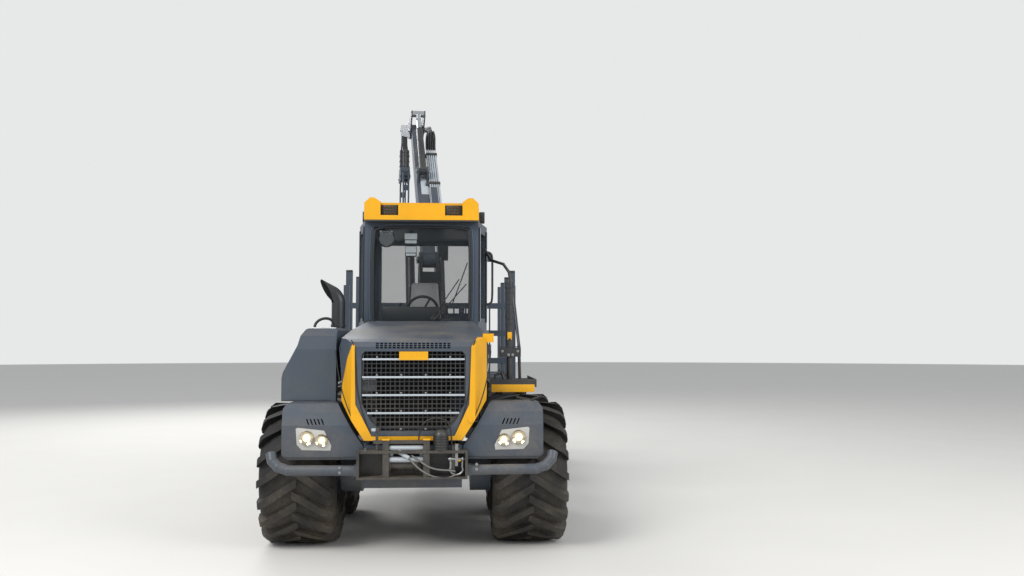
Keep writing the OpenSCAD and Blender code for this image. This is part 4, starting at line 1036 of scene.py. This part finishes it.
class FORWARDER_OT_cab(bpy.types.Operator):
    """Gaskets, wipers, mirror, screens, steering wheel, lamps and trims of the cab"""

    bl_idname = "forwarder.cab"
    bl_label = "Cab"

    def execute(self, context):
        x = 3.066
        half = [(0.515, 2.175), (0.527, 2.30), (0.527, 3.12), (0.48, 3.185)]
        run = [(-y, z) for y, z in half] + [(0.0, 3.195)] + half[::-1]
        sweep("windscreen_gasket", [[(x, y, z) for y, z in run]], 0.014, "hose", "front",
              bend=8)
        trim = [(x - 0.003, y * 1.075, z + (0.03 if z > 3.1 else 0.0)) for y, z in run]
        sweep("windscreen_trim", [trim], 0.010, "slate", "front", bend=8)
        # Round edges of the door frame and of the corner posts: dark gaskets, and thin pale strips
        # that are painted highlights on the posts' edges
        strips, pale = [], []
        for _, sign in SIDES:
            # Share of the way from the front corner to the door
            for share, bucket in ((0.07, strips), (0.17, pale), (0.86, strips), (0.95, pale)):
                px = 3.060 - 0.58 * share
                py = sign * (0.624 + 0.110 * share)
                bucket.append([(px, py, z) for z in (2.16, 2.70, 3.20)])
        sweep("post_gaskets", strips, 0.011, "hose", "front")
        sweep("post_highlights", pale, 0.006, "pipe", "front")
        many(drum, "wiper_hub", "plastic", "front", "plastic",
             [((3.062, 0.13, 2.19), (3.085, 0.13, 2.19), 0.028, 20, 0.004)])
        sweep("wiper_arms", [[(3.085, 0.115, 2.19), (3.095, 0.26, 2.40), (3.088, 0.41, 2.62)],
                             [(3.085, 0.145, 2.18), (3.097, 0.32, 2.37), (3.088, 0.49, 2.57)],
                             [(3.080, 0.34, 2.36), (3.079, 0.43, 2.60), (3.080, 0.50, 2.80)]],
              0.006, "hose", "front")
        inside = bmesh.new()
        for row in (((2.68, -0.21, 3.04), (2.72, -0.06, 3.165), 0.010),
                    ((2.68, -0.20, 2.90), (2.72, -0.07, 3.02), 0.010),
                    ((2.66, -0.15, 2.98), (2.685, -0.11, 3.195), 0.006),
                    # Dashboard with its cover over the dials
                    ((2.79, -0.42, 1.62), (2.95, 0.42, 2.20), 0.02),
                    ((2.74, -0.44, 2.16), (2.985, 0.20, 2.325), 0.03)):
            brick(inside, *row)
        # Round mirror's shell
        turned(inside, [(-0.010, 0.083), (0.0, 0.096), (0.014, 0.096), (0.022, 0.085)],
               (2.90, -0.395, 3.08), X_AXIS, 40)
        brick(inside, (2.885, -0.47, 3.12), (2.90, -0.41, 3.19), 0.006)
        piece("dashboard", inside, ["plastic"], "front", "plastic", stands_for=("console",))
        # Screens and keys: Y and Z of their corners. The last is a pale clip on the mirror. All
        # glow: besides screens that are on, the glow is a painted highlight, and on the clip, which
        # is no lamp, it is only that
        rows = [((2.719, y0, z0), (2.7235, y1, z1), 0.0015) for y0, y1, z0, z1 in (
            (-0.205, -0.065, 3.095, 3.162), (-0.195, -0.075, 2.945, 3.015),
            (-0.20, -0.07, 3.05, 3.085), (-0.19, -0.08, 2.91, 2.935))]
        rows.append(((2.885, -0.47, 3.125), (2.912, -0.33, 3.17), 0.006))
        many(brick, "screen_faces", "screen_and_glare", "front", "lamp_glass", rows)
        many(drum, "mirror_glass", "mirror", "front", "bare_steel",
             [((2.921, -0.395, 3.08), (2.925, -0.395, 3.08), 0.080, 40)])
        # Steering wheel about its own Z axis, then leant on its column
        wheel = bmesh.new()
        section = Matrix.Translation((0.17, 0, 0)) @ Matrix.Rotation(math.pi / 2, 4, "X")
        bmesh.ops.create_circle(wheel, segments=16, radius=0.016, matrix=section)
        bmesh.ops.spin(wheel, geom=wheel.verts[:] + wheel.edges[:], cent=(0, 0, 0), axis=Z_AXIS,
                       angle=math.tau, steps=48, use_merge=True)
        for a in (math.tau * k / 3 + math.pi / 6 for k in range(3)):
            end = (0.165 * math.cos(a), 0.165 * math.sin(a), 0.0)
            drum(wheel, (0.0, 0.0, -0.02), end, 0.011, 12)
        drum(wheel, (0, 0, -0.05), (0, 0, 0.005), 0.045, 32, 0.008)
        drum(wheel, (0, 0, -0.32), (0, 0, -0.05), 0.028, 24, 0.004)
        lean = Matrix.Translation((2.62, 0.0, 2.30)) @ Matrix.Rotation(math.radians(-62), 4, "Y")
        piece("steering_wheel", wheel, ["plastic"], "front", "plastic", at=lean)
        grab = [(0.704, 2.36), (0.77, 2.37), (0.79, 2.42), (0.79, 2.67), (0.79, 2.91), (0.77, 2.96),
                (0.704, 2.97)]
        sweep("grab_bar", [[(2.62, y, z) for y, z in grab]], 0.0125, "black", "front")
        # A work lamp on each side of the roof
        many(brick, "side_lamps", "plastic", "front", "plastic", [
            ((2.42, 0.642, 3.315), (2.49, 0.705, 3.445), 0.008),
            ((2.40, -0.705, 3.315), (2.47, -0.642, 3.445), 0.008)])
        # Flat black plates behind the roof lamps, black housing that also stands in as painted
        # shade of the recesses there, and lip under the visor
        many(brick, "visor_shade_plates", "plastic", "front", "plastic", [
            ((2.9915, -0.555, 3.312), (2.999, -0.258, 3.433), 0.002),
            ((2.9915, 0.258, 3.312), (2.999, 0.555, 3.433), 0.002),
            ((3.10, -0.605, 3.2395), (3.158, 0.605, 3.2595), 0.004)])
        many(brick, "door_lock", "plastic", "door", "plastic", [
            ((1.72, 0.732, 2.02), (1.86, 0.745, 2.08), 0.006)])
        sweep("door_handle", [[(1.74, 0.735, 2.06), (1.75, 0.768, 2.06), (1.83, 0.768, 2.06),
                               (1.84, 0.735, 2.06)]], 0.009, "steel", "door")
        return {"FINISHED"}


class FORWARDER_OT_rope(bpy.types.Operator):
    """Steel rope through the shackle and back, thin hose and bolts of the winch"""

    bl_idname = "forwarder.rope"
    bl_label = "Winch rope"

    def execute(self, context):
        rope = context.scene.forwarder_sizes.rope
        runs = (
            ("rope_out", "taut", [
                (4.893, -0.020, 0.941), (4.915, 0.000, 0.925), (4.930, 0.060, 0.885),
                (4.935, 0.120, 0.842), (4.935, 0.190, 0.812), (4.933, 0.260, 0.800),
                (4.928, 0.330, 0.795), (4.918, 0.380, 0.785)]),
            ("rope_back", "hanging", [
                (4.893, -0.060, 0.941), (4.917, -0.045, 0.915), (4.928, 0.000, 0.868),
                (4.930, 0.070, 0.805), (4.930, 0.150, 0.756), (4.930, 0.240, 0.732),
                (4.926, 0.320, 0.732), (4.915, 0.380, 0.752)]),
        )
        for name, lay, points in runs:
            curve = bpy.data.curves.new(name, "CURVE")
            curve.dimensions = "3D"
            curve.bevel_depth = rope / 2
            curve.bevel_resolution = 4
            line = curve.splines.new("BEZIER")
            line.bezier_points.add(len(points) - 1)
            for point, co in zip(line.bezier_points, points):
                point.co = co
                point.handle_left_type = point.handle_right_type = "AUTO"
            curve.materials.append(stuff("rope"))
            obj = ridden(name, curve, "front")
        many(drum, "rope_socket", "pipe", "front", "bare_steel",
             [((4.900, -0.125, 0.962), (4.925, -0.030, 0.905), 0.019, 28, 0.004)])
        hose = [(4.885, 0.054, 1.062), (4.885, 0.058, 1.130), (4.885, 0.090, 1.205),
                (4.882, 0.150, 1.245), (4.880, 0.215, 1.255), (4.880, 0.280, 1.240),
                (4.880, 0.325, 1.205), (4.880, 0.345, 1.120), (4.880, 0.350, 0.975)]
        sweep("winch_hose", [hose], 0.007, "hose", "front", bend=8)
        # Bolts on the tube ends, the winch's face and its top
        rows = [((x, y, z), axis, size) for x, ys, zs, axis, size in (
            (4.905, (-0.64,), (0.778, 0.822), X_AXIS, 0.010),
            (4.905, (0.57,), (0.801, 0.845), X_AXIS, 0.010),
            (4.9385, (-0.479, 0.479), (0.76, 0.93), X_AXIS, 0.008),
            (4.795, (-0.42, 0.41), (0.970,), Z_AXIS, 0.010),
            (4.875, (-0.42, 0.41), (0.970,), Z_AXIS, 0.010)) for y in ys for z in zs]
        many(bolt, "winch_bolts", "steel", "front", "bare_steel", rows)
        return {"FINISHED"}


def edges_in(found):
    return [g for g in found if isinstance(g, bmesh.types.BMEdge)]


def verts_of(edges):
    return list({v for e in edges for v in e.verts})


def exhaust():
    """A thin bent pipe, its mouth cut on the slant against rain, sooty inside."""
    x, top, bend = 3.43, 2.35, math.radians(62)
    bm = bmesh.new()
    ring = bmesh.ops.create_circle(bm, segments=40, radius=0.07,
                                   matrix=Matrix.Translation((x, -0.85, 2.07)))["verts"]
    edges = list({e for v in ring for e in v.link_edges})
    # Straight up
    for lift in (0.03, 0.24):
        made = bmesh.ops.extrude_edge_only(bm, edges=edges)["geom"]
        edges = [e for e in edges_in(made) if all(v in made for v in e.verts)]
        bmesh.ops.translate(bm, vec=(0, 0, lift), verts=verts_of(edges))
    # Round the bend, then straight out
    edges = [e for e in edges if abs(e.verts[0].co.z - e.verts[1].co.z) < 1e-6]
    spun = bmesh.ops.spin(bm, geom=edges + verts_of(edges), steps=12, cent=(x, -0.98, 2.34),
                          axis=X_AXIS, angle=bend, use_merge=False)["geom_last"]
    made = bmesh.ops.extrude_edge_only(bm, edges=edges_in(spun))["geom"]
    out = Vector((0.0, -math.sin(bend), math.cos(bend)))
    bmesh.ops.translate(bm, vec=out * 0.20,
                        verts=[g for g in made if isinstance(g, bmesh.types.BMVert)])
    bmesh.ops.remove_doubles(bm, verts=bm.verts, dist=1e-5)
    # The slanted cut takes only what is above the top of the straight pipe
    bmesh.ops.bisect_plane(bm, geom=bm.verts[:] + bm.edges[:] + bm.faces[:],
                           plane_co=(x, -0.92, top), plane_no=Z_AXIS)
    floor = top - 0.0005
    upper = [v for v in bm.verts if v.co.z > floor]
    upper += [e for e in bm.edges if all(v.co.z > floor for v in e.verts)]
    upper += [f for f in bm.faces if f.calc_center_median().z > floor]
    bmesh.ops.bisect_plane(bm, geom=upper, plane_co=(x, -0.985, 2.50),
                           plane_no=Vector((0.48, -0.86, -0.36)).normalized(), clear_outer=True)
    bmesh.ops.recalc_face_normals(bm, faces=bm.faces)
    for f in bmesh.ops.solidify(bm, geom=bm.faces[:], thickness=0.004)["geom"]:
        if isinstance(f, bmesh.types.BMFace):
            f.material_index = 1
    piece("exhaust_pipe", bm, ["black", "soot_and_shade"], "front", "black_paint", stands_for=("exhaust",))


class FORWARDER_OT_sides(bpy.types.Operator):
    """Fittings along both sides: post, treads, labels, exhaust, hose and louvres"""

    bl_idname = "forwarder.sides"
    bl_label = "Side fittings"

    def execute(self, context):
        x, y = 4.190, 0.900
        bm = bmesh.new()
        for z in (1.80, 1.95, 2.10, 2.30, 2.41):
            turned(bm, [(0.0, 0.0345), (0.003, 0.0385), (0.018, 0.0385), (0.021, 0.0345)],
                   (x, y, z), Z_AXIS, 40)
        turned(bm, [(0.0, 0.034), (0.006, 0.043), (0.028, 0.043), (0.034, 0.036)],
               (x, y, 2.456), Z_AXIS, 40)
        brick(bm, (4.12, 0.80, 1.884), (4.22, 1.01, 1.892), 0.003)
        piece("post_collars", bm, ["plastic"], "front", "plastic")
        many(bolt, "post_bolts", "steel", "front", "bare_steel", [
            ((4.231, y, z), X_AXIS, 0.010)
            for y, z in ((0.83, 1.845), (0.98, 1.845), (0.89, 1.81), (0.93, 1.81))])
        # Blank yellow label and the strip under the platform
        many(brick, "yellow_labels", "yellow", "front", "yellow_paint", [
            ((4.2245, 0.880, 1.955), (4.2265, 0.922, 2.03), 0.0005),
            ((4.3765, 0.72, 1.458), (4.3815, 1.13, 1.53), 0.0005)])
        sweep("fender_handle", [[(4.60, 1.070, 1.376), (4.60, 1.090, 1.398), (4.60, 1.130, 1.412),
                                 (4.60, 1.182, 1.432)]], 0.013, "hose", "front")
        many(brick, "platform_treads", "black", "front", "black_paint", [
            ((3.32 + i * 0.095, 0.745, 1.545), (3.335 + i * 0.095, 1.13, 1.553), 0.002)
            for i in range(11)])
        exhaust()
        band = [(0.0, 0.0705), (0.002, 0.077), (0.028, 0.077), (0.030, 0.0705)]
        many(turned, "exhaust_bands", "black", "front", "black_paint",
             [(band, (3.43, -0.85, 2.09), Z_AXIS, 40)])
        # Hose loop, seams, louvres and catches on the cowl
        loop = [(3.90, -1.02, 2.05), (3.90, -1.03, 2.10), (3.88, -0.98, 2.16), (3.86, -0.90, 2.175),
                (3.85, -0.84, 2.14), (3.84, -0.82, 2.05)]
        sweep("cowl_hose", [loop], 0.014, "hose", "front", bend=8)
        seams = [[(4.599, -0.76, 1.40), (4.599, -1.20, 1.40)],
                 [(4.05, -1.2155, 1.575), (4.05, -1.205, 1.66), (4.05, -1.077, 1.90),
                  (4.05, -1.052, 1.985)]]
        sweep("cowl_seams", seams, 0.003, "hose", "front")
        rows = [((x, -1.2185, 1.585), (x + 0.03, -1.2145, 1.645), 0.001)
                for x in (3.36 + i * 0.07 for i in range(7))]
        rows += [((x, -1.2195, 1.59), (x + 0.05, -1.2145, 1.62), 0.002) for x in (3.30, 4.20)]
        many(brick, "cowl_louvres", "black", "front", "black_paint", rows)
        return {"FINISHED"}


class FORWARDER_OT_running(bpy.types.Operator):
    """Bolts of the hubs and middles of the bogies"""

    bl_idname = "forwarder.running"
    bl_label = "Running gear"

    def execute(self, context):
        for end, x in BOGIES:
            for side, sign in SIDES:
                bm = bmesh.new()
                y = sign * 0.7202
                for hub in (x - 0.75, x + 0.75):
                    bolt_ring(bm, (hub, y, AXLE_Z), (0, sign, 0), 0.150, 12, 0.008, start=0.26)
                bolt_ring(bm, (x, y, 0.72), (0, sign, 0), 0.13, 8, 0.010)
                piece(f"bogie_bolts_{end}_{side}", bm, ["steel"], f"bogie_{end}_{side}",
                      "bare_steel")
        return {"FINISHED"}


class FORWARDER_OT_rear(bpy.types.Operator):
    """Bars of the headboard, ends of the stakes, tail lamps and bolts of the slewing base"""

    bl_idname = "forwarder.rear"
    bl_label = "Rear fittings"

    def execute(self, context):
        low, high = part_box("headboard")
        x = (low.x + high.x) / 2
        bars = [[(x, -1.02 + i * 0.17, z) for z in (1.32, 1.9, 2.44)] for i in range(13)]
        sweep("headboard_bars", bars, 0.011, "slate", "rear")
        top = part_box("bunks")[1]
        rows = []
        for x in STAKES:
            for _, sign in SIDES:
                y = sign * (top.y - 0.045)
                # Cap on the stake and collar round its foot
                rows.append(((x - 0.057, y - 0.0445, top.z - 0.03),
                             (x + 0.057, y + 0.0445, top.z), 0.006))
                rows.append(((x - 0.068, y - 0.044, 1.402), (x + 0.068, y + 0.044, 1.46), 0.008))
        many(brick, "stake_ends", "black", "rear", "black_paint", rows)
        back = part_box("rear_frame")[0].x
        many(brick, "tail_lamp_bodies", "plastic", "rear", "plastic", [
            ((back + 0.045, y - 0.05, 1.10), (back + 0.066, y + 0.05, 1.22), 0.006)
            for y in (0.36, -0.36)])
        many(brick, "tail_lamp_lenses", "red_lens", "rear", "lamp_glass", [
            ((back + 0.036, y - 0.04, z), (back + 0.046, y + 0.04, z + 0.045), 0.004)
            for y in (0.36, -0.36) for z in (1.11, 1.165)])
        many(bolt_ring, "slew_bolts", "steel", "pillar", "bare_steel",
             [((CRANE_X, 0, 1.6305), Z_AXIS, 0.235, 12, 0.014)])
        return {"FINISHED"}


class FORWARDER_PT_panel(bpy.types.Panel):
    """Lists the operators in the order in which they run"""

    bl_idname = "FORWARDER_PT_panel"
    bl_label = "Forwarder"
    bl_space_type = "VIEW_3D"
    bl_region_type = "UI"
    bl_category = "Forwarder"

    def draw(self, context):
        for op in OPERATORS:
            self.layout.operator(op.bl_idname)


OPERATORS = (FORWARDER_OT_stage, FORWARDER_OT_rope, FORWARDER_OT_winch, FORWARDER_OT_paint,
             FORWARDER_OT_wheels, FORWARDER_OT_hood, FORWARDER_OT_lamps, FORWARDER_OT_cab,
             FORWARDER_OT_seat, FORWARDER_OT_sides, FORWARDER_OT_running, FORWARDER_OT_rear,
             FORWARDER_OT_crane)
GROUPS = (ForwarderColours, ForwarderSizes, ForwarderStage)


def register():
    for cls in (*GROUPS, *OPERATORS, FORWARDER_PT_panel):
        bpy.utils.register_class(cls)
    scene = bpy.types.Scene
    scene.forwarder_colours = bpy.props.PointerProperty(type=ForwarderColours)
    scene.forwarder_sizes = bpy.props.PointerProperty(type=ForwarderSizes)
    scene.forwarder_stage = bpy.props.PointerProperty(type=ForwarderStage)


def unregister():
    scene = bpy.types.Scene
    del scene.forwarder_colours, scene.forwarder_sizes, scene.forwarder_stage
    for cls in reversed((*GROUPS, *OPERATORS, FORWARDER_PT_panel)):
        bpy.utils.unregister_class(cls)


def main():
    register()
    for op in OPERATORS:
        group, name = op.bl_idname.split(".")
        getattr(getattr(bpy.ops, group), name)()


if __name__ == "__main__":
    main()
